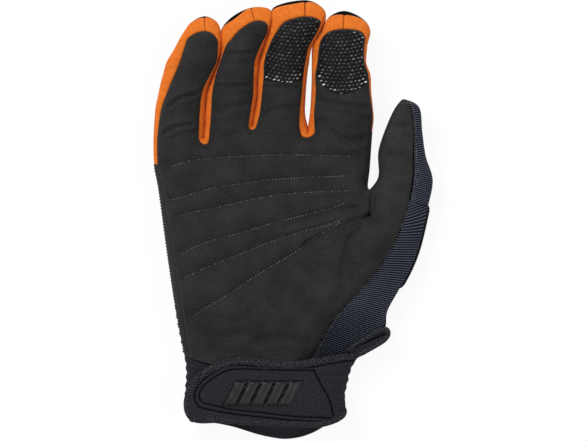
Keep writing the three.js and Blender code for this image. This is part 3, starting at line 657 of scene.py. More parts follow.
def beside(line):
    """Rows of points along a line and on both sides of it."""
    run = np.gradient(line, axis=0)
    side = np.column_stack([-run[:, 1], run[:, 0]]) / np.linalg.norm(run, axis=1)[:, None]
    return np.vstack([line + side * away for away in LINE_ROWS])


def fill(outline, step, rows, lines=()):
    """Triangles that fill an outline: rows that follow its edge and some lines, then an even grid."""
    lots = [outline, *edge_rows(outline, rows)]
    grid = even_grid(outline, step, rows[-1] + step * 0.55)
    closed = [np.vstack([outline, outline[:1]])]
    for line in lines:
        spots = beside(line)
        lots.append(spots[(near(spots, closed) > rows[-1] + 0.4) & inside(spots, outline)])
    if lines:
        grid = grid[near(grid, lines) > max(LINE_ROWS) + step * 0.5]
    points = np.vstack([*lots, grid])
    count = len(outline)
    border = [(i, (i + 1) % count) for i in range(count)]
    made = delaunay_2d_cdt([tuple(p) for p in points.tolist()], border, [], 1, 1e-7)
    return np.array([list(v) for v in made[0]]), [tuple(f) for f in made[2]]


# %% Sheets
def sheet(name, outline, top, bottom, material, step=1.2, rows=EDGE_ROWS, lines=()):
    """A closed sheet with a given outline in plan, between two heights."""
    plan, triangles = fill(outline, step, rows, lines)
    count = len(plan)
    points = np.vstack([np.column_stack([plan, top(plan)]), np.column_stack([plan, bottom(plan)])])
    faces = []
    open_edges = {}
    for a, b, c in triangles:
        p, q, r = plan[a], plan[b], plan[c]
        if (q[0] - p[0]) * (r[1] - p[1]) - (q[1] - p[1]) * (r[0] - p[0]) < 0:
            b, c = c, b
        faces += [(a, b, c), (a + count, c + count, b + count)]
        for edge in ((a, b), (b, c), (c, a)):
            if open_edges.pop(edge[::-1], None) is None:
                open_edges[edge] = True
    faces += [(b, a, a + count, b + count) for a, b in open_edges]
    return make(name, points, faces, np.vstack([plan, plan]), material)


# %% Bands
def band(name, grid, thick, material, uv=None):
    """A closed band from a grid of outer points, thickened inwards. Its outer face looks mostly upwards."""
    if uv is None:
        run = np.linalg.norm(np.diff(grid.mean(1), axis=0), axis=1)
        drop = np.linalg.norm(np.diff(grid.mean(0), axis=0), axis=1)
        run = np.concatenate([[0], run.cumsum()])
        drop = np.concatenate([[0], drop.cumsum()])
        uv = np.stack(np.meshgrid(run, drop, indexing="ij"), axis=2)
    normal = np.cross(np.gradient(grid, axis=0), np.gradient(grid, axis=1))
    normal /= np.maximum(np.linalg.norm(normal, axis=2), 1e-9)[..., None]
    if normal[..., 2].sum() < 0:
        grid, uv, normal = grid[::-1], uv[::-1], -normal[::-1]
    points = np.vstack([grid.reshape(-1, 3), (grid - normal * thick).reshape(-1, 3)])
    count = grid.shape[0] * grid.shape[1]
    number = np.arange(count).reshape(grid.shape[:2])
    corners = [number[:-1, :-1], number[1:, :-1], number[1:, 1:], number[:-1, 1:]]
    quads = np.stack(corners, axis=2).reshape(-1, 4)
    rim = np.concatenate([number[:, 0], number[-1, 1:], number[-2::-1, -1], number[0, -2:0:-1]])
    after = np.roll(rim, -1)
    edge = np.column_stack([after, rim, rim + count, after + count])
    faces = np.vstack([quads, quads[:, ::-1] + count, edge]).tolist()
    flat = uv.reshape(-1, 2)
    return make(name, points, faces, np.vstack([flat, flat]), material)


# %% [markdown]
# ## Materials
# The palm is black synthetic suede, the finger sides are bright orange stretch knit and the heel of the thumb
# is an open navy mesh. Each material starts from one shader, and textures in true millimetres add grain or
# weave to its colour and its surface. Image textures could do it too, but they would blur up close.


# %% Material helpers
def cloth(name, colour, roughness, specular, sheen=0.0):
    """A material with its main values on the shader itself."""
    made = bpy.data.materials.new(name)
    made.use_nodes = True
    made.diffuse_color = (*colour, 1)
    shader = made.node_tree.nodes["Principled BSDF"]
    shader.inputs["Base Color"].default_value = (*colour, 1)
    shader.inputs["Roughness"].default_value = roughness
    shader.inputs["Specular IOR Level"].default_value = specular
    shader.inputs["Sheen Weight"].default_value = sheen
    return made


def add(made, kind, **links):
    """A new node, with the given inputs linked to outputs or set to values."""
    node = made.node_tree.nodes.new(kind)
    for key, value in links.items():
        socket = node.inputs[int(key[1:])] if key[0] == "i" and key[1:].isdigit() else node.inputs[key]
        if isinstance(value, bpy.types.NodeSocket):
            made.node_tree.links.new(value, socket)
        else:
            socket.default_value = value
    return node


def plan_of(made):
    """The texture coordinates in millimetres."""
    return add(made, "ShaderNodeTexCoord").outputs["UV"]


def noise(made, scale, detail=2.0):
    """Clouds or flecks: a larger scale makes them finer."""
    return add(made, "ShaderNodeTexNoise", Vector=plan_of(made), Scale=scale, Detail=detail).outputs["Fac"]


def math_node(made, operation, first, *others):
    """One step of arithmetic on one to three values or outputs."""
    node = add(made, "ShaderNodeMath", i0=first)
    node.operation = operation
    for socket, value in zip(node.inputs[1:], others):
        if isinstance(value, bpy.types.NodeSocket):
            made.node_tree.links.new(value, socket)
        else:
            socket.default_value = value
    return node.outputs[0]


def part_of(made, axis):
    """One texture coordinate: 0 is along the cloth and 1 across it."""
    return add(made, "ShaderNodeSeparateXYZ", Vector=plan_of(made)).outputs[axis]


def fade(made, value, start, end):
    """Rises from 0 to 1 as a value goes from start to end."""
    node = add(made, "ShaderNodeMapRange", Value=value)
    node.inputs["From Min"].default_value = start
    node.inputs["From Max"].default_value = end
    return node.outputs[0]


def wave(made, axis, pitch):
    """A sine along one direction of the cloth: one full wave in each two pitches."""
    return math_node(made, "SINE", math_node(made, "MULTIPLY", part_of(made, axis), math.pi / pitch))


def knit(made, along, across):
    """A lattice of loops: bright where both waves agree."""
    lattice = math_node(made, "MULTIPLY", wave(made, 0, along), wave(made, 1, across))
    return math_node(made, "MULTIPLY_ADD", lattice, 0.5, 0.5)


def tint(made, factor, stops):
    """Colours the cloth by a texture, from dark to light."""
    ramp = add(made, "ShaderNodeValToRGB", Fac=factor)
    for k, (place, colour) in enumerate(stops):
        stop = ramp.color_ramp.elements[k] if k < 2 else ramp.color_ramp.elements.new(place)
        stop.position = place
        stop.color = (*colour, 1)
    shader = made.node_tree.nodes["Principled BSDF"]
    made.node_tree.links.new(ramp.outputs["Color"], shader.inputs["Base Color"])
    return ramp


def raise_by(made, height, depth, strength=1.0, under=None):
    """Raises the surface by a texture, in millimetres, on top of an earlier relief."""
    node = add(made, "ShaderNodeBump", Height=height, Distance=depth * MM, Strength=strength)
    if under is not None:
        made.node_tree.links.new(under, node.inputs["Normal"])
    shader = made.node_tree.nodes["Principled BSDF"]
    made.node_tree.links.new(node.outputs["Normal"], shader.inputs["Normal"])
    return node.outputs["Normal"]


# %% Leather
# The suede turns a little paler on the thumb.
THUMB_PALER_ACROSS = (43, 52)
THUMB_PALER_UP = (-14, 18)
THUMB_PALER_SHARE = 0.1
suede = cloth("palm_suede", (0.018, 0.018, 0.019), 0.85, 0.12, 0.03)
suede_cloud = math_node(suede, "MULTIPLY", noise(suede, 0.07, 3.0), 0.4)
suede_fleck = math_node(suede, "MULTIPLY", noise(suede, 1.1, 5.0), 0.6)
suede_right = fade(suede, part_of(suede, 0), *THUMB_PALER_ACROSS)
suede_high = fade(suede, part_of(suede, 1), *THUMB_PALER_UP)
suede_thumb = math_node(suede, "MULTIPLY", suede_right, suede_high)
suede_thumb_paler = math_node(suede, "MULTIPLY", suede_thumb, THUMB_PALER_SHARE)
suede_grey = math_node(suede, "ADD", suede_cloud, suede_fleck)
suede_tone = math_node(suede, "ADD", suede_grey, suede_thumb_paler)
SUEDE_TONES = [
    (0.36, (0.0092, 0.0092, 0.0098)),
    (0.64, (0.0285, 0.0282, 0.0294)),
    (0.78, (0.043, 0.041, 0.043)),
]
tint(suede, suede_tone, SUEDE_TONES)
suede_grain = raise_by(suede, noise(suede, 2.4, 3.0), 0.22, 0.6)
raise_by(suede, noise(suede, 0.4, 2.0), 0.6, 0.3, suede_grain)
print("Suede tones:", len(SUEDE_TONES))

# %% Orange stretch knit
orange = cloth("orange_knit", (0.74, 0.175, 0.018), 0.8, 0.12, 0.05)
tint(orange, noise(orange, 0.5, 4.0), [(0.3, (0.6, 0.125, 0.011)), (0.7, (0.74, 0.185, 0.021))])
orange_weave = raise_by(orange, knit(orange, 0.45, 0.45), 0.12, 0.5)
raise_by(orange, noise(orange, 0.3, 3.0), 0.8, 0.35, orange_weave)

tip_seam = cloth("tip_seam", (0.3, 0.06, 0.008), 0.85, 0.1)
raise_by(tip_seam, noise(tip_seam, 1.5, 2.0), 0.2, 0.5)
print("Orange fabrics:", orange.name, tip_seam.name)

# %% Navy mesh
MESH_ROW = 1.25
MESH_LOOP = 1.3
# Painted shade on the mesh: where it begins and ends, and how dark it gets.
MESH_SHADE_FROM, MESH_SHADE_TO = -50, -82
MESH_SHADE = 0.28
navy = cloth("navy_mesh", (0.03, 0.035, 0.05), 0.8, 0.08)
navy_row = wave(navy, 1, MESH_ROW)
navy_bead = math_node(navy, "MULTIPLY_ADD", wave(navy, 0, MESH_LOOP / 2), 0.3, 0.74)
navy_gap = math_node(navy, "SUBTRACT", 1.0, math_node(navy, "ABSOLUTE", navy_row))
navy_ridge = math_node(navy, "POWER", navy_gap, 1.4)
navy_loops = math_node(navy, "MULTIPLY", navy_ridge, navy_bead)
# Painted shade: the mesh is darker towards the wrist.
navy_wrist_shade = fade(navy, part_of(navy, 1), MESH_SHADE_FROM, MESH_SHADE_TO)
navy_tone = math_node(navy, "MULTIPLY_ADD", navy_wrist_shade, -MESH_SHADE, navy_loops)
tint(navy, navy_tone, [(0.05, (0.0018, 0.0022, 0.0038)), (1.0, (0.163, 0.183, 0.262))])
raise_by(navy, navy_loops, 0.5, 0.6)
print("Mesh rows:", MESH_ROW, "mm apart")

# %% Black fabrics
back_knit = cloth("back_knit", (0.013, 0.0135, 0.0155), 0.85, 0.25)
tint(back_knit, noise(back_knit, 0.6, 4.0), [(0.3, (0.0105, 0.011, 0.0125)), (0.7, (0.016, 0.0165, 0.0185))])
raise_by(back_knit, knit(back_knit, 0.6, 0.6), 0.18, 0.6)
rib_knit = cloth("rib_knit", (0.018, 0.0185, 0.0215), 0.8, 0.25)
raise_by(rib_knit, knit(rib_knit, 0.45, 0.5), 0.15, 0.5)
cuff_knit = cloth("cuff_knit", (0.034, 0.0362, 0.043), 0.85, 0.25)
tint(cuff_knit, noise(cuff_knit, 1.2, 4.0), [(0.3, (0.022, 0.0236, 0.028)), (0.7, (0.044, 0.0468, 0.0555))])
raise_by(cuff_knit, knit(cuff_knit, 0.5, 0.5), 0.16, 0.6)
print("Knits:", back_knit.name, rib_knit.name, cuff_knit.name)

# %% Strap fabrics
TAPE_TWILL = 1.6
TWILL_SHARE = 0.15
strap_cloth = cloth("strap_neoprene", (0.0125, 0.0132, 0.016), 0.8, 0.14)
STRAP_TONES = [(0.4, (0.0034, 0.0037, 0.005)), (0.62, (0.0235, 0.0249, 0.0318))]
tint(strap_cloth, noise(strap_cloth, 1.5, 5.0), STRAP_TONES)
raise_by(strap_cloth, knit(strap_cloth, 0.5, 0.5), 0.14, 0.6)
binding_cloth = cloth("strap_binding_tape", (0.018, 0.0188, 0.0215), 0.8, 0.15)
binding_twill = math_node(binding_cloth, "MULTIPLY", wave(binding_cloth, 0, TAPE_TWILL / 2), TWILL_SHARE)
binding_fleck = noise(binding_cloth, 1.1, 1.0)
binding_tone = math_node(binding_cloth, "ADD", binding_fleck, binding_twill)
tint(binding_cloth, binding_tone, [(0.42, (0.0008, 0.0009, 0.0012)), (0.7, (0.045, 0.047, 0.056))])
raise_by(binding_cloth, binding_tone, 0.35, 0.6)
print("Tape twill:", TAPE_TWILL, "mm")

# %% Grooves, fasteners and rubber
# Painted shade for sewn lines, channels and gaps: a near-black finish on the faces along them.
groove_shade = cloth("painted_groove_shade", (0.003, 0.003, 0.0035), 0.95, 0.05)
raise_by(groove_shade, noise(groove_shade, 2.0, 2.0), 0.1, 0.4)
fuzz = cloth("fastener_fuzz", (0.012, 0.012, 0.013), 0.95, 0.05, 0.04)
raise_by(fuzz, noise(fuzz, 2.0, 5.0), 0.6, 0.9)
rubber = cloth("moulded_rubber", (0.0036, 0.0037, 0.0044), 0.33, 0.28)
raise_by(rubber, noise(rubber, 3.0, 2.0), 0.05, 0.3)
edge_rubber = cloth("moulded_edge", (0.0035, 0.0035, 0.004), 0.75, 0.1)
raise_by(edge_rubber, noise(edge_rubber, 2.0, 2.0), 0.08, 0.4)
print("Rubbers:", rubber.name, edge_rubber.name)

# %% Silicone and thread
# On dots and stitches the first texture coordinate says how pale each one is; on the dots it also holds a
# painted highlight.
silicone = cloth("silicone_dots", (0.12, 0.12, 0.125), 0.3, 0.25)
tint(silicone, part_of(silicone, 0), [(0.0, (0.012, 0.012, 0.014)), (1.0, (0.85, 0.85, 0.86))])
film = cloth("grip_film", (0.0052, 0.0052, 0.006), 0.6, 0.08)
raise_by(film, noise(film, 2.2, 3.0), 0.12, 0.6)
thread = cloth("sewing_thread", (0.17, 0.17, 0.175), 0.7, 0.3)
tint(thread, part_of(thread, 0), [(0.0, (0.03, 0.03, 0.031)), (1.0, (0.19, 0.19, 0.195))])
# Painted shade: near-black lumps stand for the needle holes between stitches.
hole_shade = cloth("painted_needle_hole_shade", (0.003, 0.003, 0.003), 0.9, 0.05)
print("Materials:", len(bpy.data.materials))


# %% Painted shade in grooves
def paint_groove_shade(thing, lines, reach):
    """Gives the faces within reach of some lines a near-black painted shade, as in a sewn groove."""
    if len(thing.data.materials) == 1:
        thing.data.materials.append(groove_shade)
    points = np.zeros(len(thing.data.vertices) * 3, np.float32)
    thing.data.vertices.foreach_get("co", points)
    close = near(points.reshape(-1, 3)[:, :2] / MM, lines) < reach
    for face in thing.data.polygons:
        if all(close[n] for n in face.vertices):
            face.material_index = 1


# %% [markdown]
# ## Leather of the palm and the fingers
# One hide makes the palm and the finger fronts. Here it is cut on the bend line of each finger, because each
# finger turns about its own joint. On that line a finger front meets the palm with the slope of the whole
# hide, so no line shows.


# %% Placing the pieces
BODIES = {finger: finger + "_finger" for finger in FINGERS}
BODIES["thumb"] = "thumb"


def sew(thing, slot, *nodes):
    """Hides the CAD nodes that a piece stands for. The slot is not used."""
    if nodes:
        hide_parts(*nodes)


def on_hand(thing, slot, *nodes):
    """A piece that moves with the hand."""
    sew(thing, slot, *nodes)
    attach(thing, "hand")


def on_digit(thing, name, slot, *nodes):
    """A piece of a digit: hides its CAD nodes and bakes its place into its points. The name is not used."""
    sew(thing, slot, *nodes)
    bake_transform(thing)


# %% Slopes on a bend line
def match_normals(thing, lift, line):
    """Gives the points on a bend line the slope of the whole hide, so that no line shows."""
    mesh = thing.data
    points = np.zeros(len(mesh.vertices) * 3)
    mesh.vertices.foreach_get("co", points)
    points = points.reshape(-1, 3) / MM
    normals = np.zeros(len(mesh.vertices) * 3, np.float32)
    mesh.vertex_normals.foreach_get("vector", normals)
    normals = normals.reshape(-1, 3)
    outer_face = np.arange(len(points)) < len(points) // 2
    on_line = np.flatnonzero((near(points[:, :2], line) < SAME_POINT) & outer_face)
    normals[on_line] = surface_normals(points[on_line, :2], lift, 0.2)
    mesh.normals_split_custom_set_from_vertices(normals.tolist())


# %% Palm
LEATHER = 0.9
LEATHER_STEP = 0.9


def leather(name, outline, lift, bend_lines, lines=()):
    """A panel of the hide, which meets its neighbours on the bend lines."""
    panel = sheet(
        name,
        outline,
        lambda p: leather_top(p, lift),
        lambda p: leather_top(p, lift) - LEATHER,
        suede,
        step=1.0,
        lines=lines,
    )
    match_normals(panel, lift, bend_lines)
    return panel


flex_lines = [np.array([roots[name]["left"], roots[name]["right"]]) for name in digits]
palm_parts = [left_seam[::-1]]
for k, name in enumerate(FINGERS):
    palm_parts.append(flex_lines[k])
    if k < len(crotches):
        palm_parts.append(crotches[k]["seam"])
palm_parts += [right_seam, flex_lines[-1], heel_seam, np.array(LEATHER_FOOT[::-1], float)]
palm = leather("palm_leather", tidy_outline(palm_parts, LEATHER_STEP), no_lift, flex_lines, stitch_lines)
on_hand(palm, "palm_leather", "palm_panel")

# %% Finger and thumb fronts
for k, name in enumerate(digits):
    outline = tidy_outline([digits[name]["seam"]], LEATHER_STEP)
    front = leather(name + "_leather", outline, lifts[name], [flex_lines[k]])
    on_digit(front, name, "palm_leather", name + "_front")

# %% [markdown]
# ## Side walls of the fingers
# Between the leather and the back of each finger runs a narrow strip of stretch knit. It leaves the seam
# level and turns down to the rim like a quarter of a round. At the fingertip the strip is joined in a short
# seam, which shows as a pinched line. A bevel on the leather couldn't follow the changing width of the strip,
# so the wall is a grid between the seam and the rim.


# %% Wall grids
WALL = 0.9
WALL_COLUMNS = 15
WALL_TUCK = 1.9


def wall_grid(seam, rim, lift, bulge=0.0, columns=WALL_COLUMNS, seat=0.2, upright=0.5, steep=None):
    """Points of a wall that leaves the seam level, rounds over and drops upright to the rim.

    A steep wall drops at once, as in the valley between two fingers."""
    high = seam_height(seam, lift) - WALL_TUCK
    low = RIM_HEIGHT + seat + lift(rim)
    v = np.linspace(0, 1, columns)
    turn = np.minimum(v / (1 - 0.5 * upright), 1) * math.pi / 2
    out = np.sin(turn)
    fall = upright + (1 - upright) * np.cos(turn)
    if upright:
        last = 0.5 * upright
        fall = fall - upright * np.maximum(0, v / last - (1 / last - 1))
    steep = np.zeros(len(seam)) if steep is None else steep
    out = out[None] * (1 - steep[:, None]) + v[None] * steep[:, None]
    fall = fall[None] * (1 - steep[:, None]) + ((1 - v) ** 1.5)[None] * steep[:, None]
    plan = seam[:, None] + (rim - seam)[:, None] * out[..., None]
    z = low[:, None] + (high - low)[:, None] * fall + bulge * np.sin(v * math.pi)[None]
    return np.dstack([plan, z])


def pucker(grid, depth, size, seed):
    """Uneven little folds, square to the wall."""
    normal = np.cross(np.gradient(grid, axis=0), np.gradient(grid, axis=1))
    normal /= np.maximum(np.linalg.norm(normal, axis=2), 1e-9)[..., None]
    run = lengths(grid.mean(1))[:, None] * np.ones(grid.shape[1])
    drop = np.ones(grid.shape[0])[:, None] * np.linspace(0, 1, grid.shape[1]) * 6
    hold = np.sin(np.linspace(0, math.pi, grid.shape[1])) ** 0.5
    move = depth * waves(run, drop, size, seed) * hold
    return grid + normal * move[..., None]


# %% Tips of the finger walls
VALLEY_STEEP = 0.25
VALLEY_TOP = 98
VALLEY_RUN = 8
WALL_UPRIGHT = 0.35
PUCKER = (0.3, 15)
PINCH = 0.55
# Where the back shows past each fingertip: its place and reach along the rim, and its depth.
TIP_INSETS = {
    "little": (0.48, 0.04, 0.5),
    "ring": (0.44, 0.045, 1.6),
    "middle": (0.465, 0.05, 1.5),
    "index": (0.505, 0.045, 2.1),
}


def finger_wall(name, seed):
    """The wall round one finger: steep in the valleys, inset at the tip and pinched at the tip seam."""
    seam, rim = digits[name]["seam"], digits[name]["rim"]
    share = np.linspace(0, 1, len(seam))
    place, reach, depth = TIP_INSETS[name]
    inset = depth * np.exp(-(((share - place) / reach) ** 2))
    inward = seam - rim
    inward /= np.maximum(np.linalg.norm(inward, axis=1), 1e-6)[:, None]
    half_way = len(seam) // 2
    valley = smooth((VALLEY_TOP - seam[:, 1]) / VALLEY_RUN) * VALLEY_STEEP
    if name == "little":
        valley[:half_way] = 0
    if name == "index":
        valley[half_way:] = 0
    grid = wall_grid(seam, rim + inward * inset[:, None], lifts[name], upright=WALL_UPRIGHT, steep=valley)
    grid = pucker(grid, *PUCKER, seed)
    way = lengths(seam)
    pinch = PINCH * np.exp(-(((way - way[half_way]) / PINCH) ** 2))
    grid[..., :2] += (inward * pinch[:, None])[:, None]
    grid[..., 2] -= pinch[:, None]
    return grid


# %% Walls of the four fingers
for k, name in enumerate(FINGERS):
    walls = band(name + "_side_knit", finger_wall(name, 20 + k), WALL, orange)
    walls.data.materials.append(tip_seam)
    row_faces = WALL_COLUMNS - 1
    first_face = (DIGIT_STEPS // 2 - 1) * row_faces
    for face in walls.data.polygons[first_face : first_face + row_faces]:
        face.material_index = 1
    on_digit(walls, name, "orange_fabric", name + "_outer_wall", name + "_inner_wall")

# %% Crotches
for k, crotch in enumerate(crotches):
    a, b = names[k], names[k + 1]
    across = np.abs(np.linspace(-1, 1, len(crotch["seam"])))
    steep = VALLEY_STEEP * smooth((across - 0.3) / 0.6)
    grid = wall_grid(crotch["seam"], crotch["rim"], no_lift, steep=steep)
    gusset = band(f"{a}_{b}_crotch", grid, WALL, orange)
    on_hand(gusset, "orange_fabric", f"{a}_{b}_gusset")

# %% Orange side of the hand
ORANGE_END = 30.0
orange_rows = (left_rim[:, 1] >= ORANGE_END).sum()
left_even = even(left_seam, len(left_rim) - 1)
side_grid = wall_grid(left_even, left_rim, no_lift)
little_side = band("little_side_knit", side_grid[:orange_rows], WALL, orange)
on_hand(little_side, "orange_fabric", "little_side_strip")

# %% Ribbed side of the hand
RIB_PITCH = 1.7
RIB_HEIGHT = 0.33
RIB_STEPS = 720
GATHER_PITCH = 4.8
GATHER_HEIGHT = 0.3
fine_rim = even(left_rim[orange_rows - 1 :], RIB_STEPS)
fine_seam = even(left_even[orange_rows - 1 :], RIB_STEPS)
rib_grid = wall_grid(fine_seam, fine_rim, no_lift)
rib_way = lengths(fine_rim)
rib_luck = 0.6 + 0.4 * waves(rib_way, rib_way * 0, 9, 12)
rib_wave = 0.2 + RIB_HEIGHT * rib_luck * np.sin(rib_way * 2 * math.pi / RIB_PITCH)
gathers = GATHER_HEIGHT * np.sin(rib_way * 2 * math.pi / GATHER_PITCH)
rib_wave += gathers * smooth((-40 - fine_rim[:, 1]) / 15)
rib_grid[..., 0] -= rib_wave[:, None] * np.linspace(0.2, 1, WALL_COLUMNS)[None]
rib_side = band("side_rib", rib_grid, WALL, rib_knit)
on_hand(rib_side, "rib_fabric", "side_panel")

# %% Leather side of the hand
INDEX_SIDE_STEPS = 80
index_grid = wall_grid(even(right_seam, INDEX_SIDE_STEPS), even(right_rim, INDEX_SIDE_STEPS), no_lift)
index_side = band("index_side_leather", index_grid, WALL, suede)
on_hand(index_side, "palm_leather", "index_side_panel")

# %% Inner side of the thumb
half = len(digits["thumb"]["seam"]) // 2
thumb_seam, thumb_rim = digits["thumb"]["seam"], digits["thumb"]["rim"]
inner_grid = wall_grid(thumb_seam[: half + 1], thumb_rim[: half + 1], thumb_lift)
thumb_inner = band("thumb_inner_leather", inner_grid, WALL, suede)
on_digit(thumb_inner, "thumb", "palm_leather", "thumb_inner_wall")

# %% Mesh side of the thumb
MESH_SEAM = 1.1
MESH_MIDDLE = 55
MESH_STRETCH = 1.05
MESH_SLOPE = -0.2
# Where the slope of the mesh rows begins to change, over which run and by how much.
MESH_TURNS = [(34, 20, -0.15), (10, 22, 0.35), (-12, 50, 0.34)]
THUMB_MESH_ROWS = 200
THUMB_MESH_COLUMNS = 25


def mesh_map(grid):
    """Texture places of the mesh: its rows run level at the thumb and slope at the wrist."""
    x, y = grid[..., 0], grid[..., 1]
    slope = MESH_SLOPE
    for start, run, change in MESH_TURNS:
        slope = slope + change * smooth((start - y) / run)
    return np.dstack([x * MESH_STRETCH, y + slope * (x - MESH_MIDDLE)])


def fine_rows(line, count):
    """A line with more points at the same shares."""
    at = np.linspace(0, len(line) - 1, count)
    return np.column_stack([np.interp(at, np.arange(len(line)), line[:, k]) for k in range(2)])


mesh_seam = fine_rows(thumb_seam[half:], THUMB_MESH_ROWS)
mesh_rim = fine_rows(thumb_rim[half:], THUMB_MESH_ROWS)
mesh_grid = wall_grid(mesh_seam, mesh_rim, thumb_lift, 0.8, THUMB_MESH_COLUMNS, upright=0.0)
thumb_mesh = band("thumb_mesh_knit", mesh_grid, WALL, navy, mesh_map(mesh_grid))
# Painted shade along the seam where the mesh meets the leather.
paint_groove_shade(thumb_mesh, [thumb_seam[half:]], MESH_SEAM)
on_digit(thumb_mesh, "thumb", "navy_mesh", "thumb_mesh_side")

# %% [markdown]
# ## Mesh over the heel of the thumb
# Open navy mesh covers the heel of the thumb between the leather and the back, down to the slit at the wrist.
# It bulges over the hand, and a dark moulded edge of the back panel wraps round its outside.

# %% Heel mesh
MESH_TUCK = 4.5
HEEL_ROWS = 220
HEEL_COLUMNS = 49
HEEL_SEAT = 1.4
HEEL_OPEN = 22
HEEL_BULGE, HEEL_BULGE_MORE = 0.8, 2.2
HEEL_END, HEEL_END_RUN = 0.78, 0.22
HEEL_END_FLAT = 0.8
heel_a, heel_b = even(heel_seam, HEEL_ROWS), even(heel_rim, HEEL_ROWS)
heel_high = seam_height(heel_a, no_lift) - WALL_TUCK
heel_low = np.full(len(heel_b), RIM_HEIGHT + HEEL_SEAT)
v = np.linspace(0, 1, HEEL_COLUMNS)
heel_plan = heel_a[:, None] + (heel_b - heel_a)[:, None] * v[None, :, None]
first_share = smooth(lengths(heel_a) / HEEL_OPEN)[:, None]
start_profile = np.cos(v * math.pi / 2)[None]
open_profile = (1 - v)[None]
heel_fall = start_profile * (1 - first_share) + open_profile * first_share
heel_share = np.linspace(0, 1, len(heel_a))[:, None]
last_share = smooth((heel_share - HEEL_END) / HEEL_END_RUN)
heel_bulge = (HEEL_BULGE + HEEL_BULGE_MORE * first_share) * (1 - HEEL_END_FLAT * last_share)
heel_bulge = heel_bulge * np.sin(v * math.pi)[None]
heel_plan[..., 1] -= MESH_TUCK * last_share * np.sin(v * math.pi)[None]
heel_z = heel_low[:, None] + (heel_high - heel_low)[:, None] * heel_fall + heel_bulge
heel_grid = np.dstack([heel_plan, heel_z])
heel_mesh = band("heel_mesh_knit", heel_grid, WALL, navy, mesh_map(heel_grid))
# Painted shade along the seam where the mesh meets the leather.
paint_groove_shade(heel_mesh, [heel_seam], MESH_SEAM)
on_hand(heel_mesh, "navy_mesh", "heel_mesh")

# %% Guard
GUARD_END = -37.0
GUARD_STEPS = 160
GUARD_LEAST, GUARD_MORE = 0.25, 1.15
GUARD_TAPER = 0.06
# Distance out from the rim and height of each row, from the palm side round to the back.
GUARD_PROFILE = [
    (-2.6, 12.3), (-1.2, 12.4), (0, 12.3), (0.5, 11.9), (0.85, 11.2), (1, 10.2), (0.9, 9.2), (0.5, 8.2),
]
guard_edge = even(heel_rim[heel_rim[:, 1] > GUARD_END], GUARD_STEPS)
guard_run = np.gradient(guard_edge, axis=0)
guard_out = np.column_stack([guard_run[:, 1], -guard_run[:, 0]])
guard_out /= np.linalg.norm(guard_out, axis=1)[:, None]
if (guard_out @ EAST).mean() < 0:
    guard_out = -guard_out
guard_share = np.linspace(0, 1, len(guard_edge))
guard_ends = np.minimum(1, np.sqrt(np.minimum(guard_share, 1 - guard_share) / GUARD_TAPER))
guard_reach = GUARD_LEAST + GUARD_MORE * guard_ends
guard_rows = []
for reach, level in GUARD_PROFILE:
    away = np.where(reach > 0, reach * guard_reach, reach)
    row = guard_edge + guard_out * away[:, None]
    guard_rows.append(np.column_stack([row, np.full(len(row), level)]))
guard = band("thumb_guard_rubber", np.stack(guard_rows, axis=1), 0.8, edge_rubber)
on_hand(guard, "rubber", "thumb_base_guard")

# %% [markdown]
# ## Back of the glove
# The back lies on the table. Its panels are dished sheets of black stretch knit that end on the rim, and the
# fingers' panels meet the hand's on the bend lines. Stretch ribs cross the knuckles, and a sewn row joins the
# back to the cuff. Both are pressed into the heights of the sheets, so that they are real in every view.

# %% Knuckle ribs and the sewn join at the wrist
KNUCKLE_RIB = 3.2
KNUCKLE_DENT = 0.45
KNUCKLE_FROM, KNUCKLE_TO = 12.0, 34.0
WRIST_DENT = (0.6, 0.9)
CUFF_SEAM = even(np.array([[-55.6, -72.9], [-15.5, -73.1], [49.2, -54.7]]), 180)


def knuckle_ribs(p, flex):
    """Stretch ribs across the back of a finger, pressed into the knit."""
    along = p[:, 1] - flex
    window = smooth((along - KNUCKLE_FROM) / 4) * smooth((KNUCKLE_TO - along) / 4)
    inner = smooth((near(p, rim_lines) - 3.5) / 3)
    return KNUCKLE_DENT * (1 - np.cos(along * 2 * math.pi / KNUCKLE_RIB)) * window * inner


def wrist_dent(p):
    """The dent along the row that joins the hand's back to the cuff."""
    return -valley_of(near(p, [CUFF_SEAM]), *WRIST_DENT)


print("Row at the wrist:", round(lengths(CUFF_SEAM)[-1]), "mm long")

# %% Backs of the digits
BACK_STEP = 1.4
BACK_ROWS = [0.6, 1.6, 3.2]
for name in digits:
    lift = lifts[name]
    ribs = (lambda p: knuckle_ribs(p, FINGERS[name]["flex"])) if name in FINGERS else no_lift
    back = sheet(
        name + "_back_knit",
        tidy_outline([digits[name]["rim"]], BACK_STEP),
        lambda p: back_bottom(p, lift) + ribs(p) + BACK_FABRIC,
        lambda p: back_bottom(p, lift) + ribs(p),
        back_knit,
        step=1.0 if name in FINGERS else 2.0,
        rows=BACK_ROWS,
    )
    on_digit(back, name, "back_fabric", name + "_back")

# %% Back of the hand
WRIST_MIDDLE = [-15.5, -74.5]
back_parts = [left_rim[::-1]]
for k, name in enumerate(FINGERS):
    back_parts.append(np.array([rim_roots[name]["left"], rim_roots[name]["right"]]))
    if k < len(crotches):
        back_parts.append(crotches[k]["rim"])
back_parts += [right_rim, np.array([rim_roots["thumb"]["right"]]), heel_rim, np.array([WRIST_MIDDLE])]
hand_back = sheet(
    "hand_back_knit",
    tidy_outline(back_parts, BACK_STEP),
    lambda p: back_bottom(p, no_lift) + wrist_dent(p) + BACK_FABRIC,
    lambda p: back_bottom(p, no_lift) + wrist_dent(p),
    back_knit,
    step=2.2,
    rows=BACK_ROWS,
    lines=[CUFF_SEAM],
)
on_hand(hand_back, "back_fabric", "hand_back")

# %% [markdown]
# ## Silicone grip and stitches
# The first two fingertips carry raised silicone dots for the levers, on a thin dark film. Six rows of thread
# quilt the palm. Dots and stitches are small rounded lumps, copied to each place and turned to the surface.


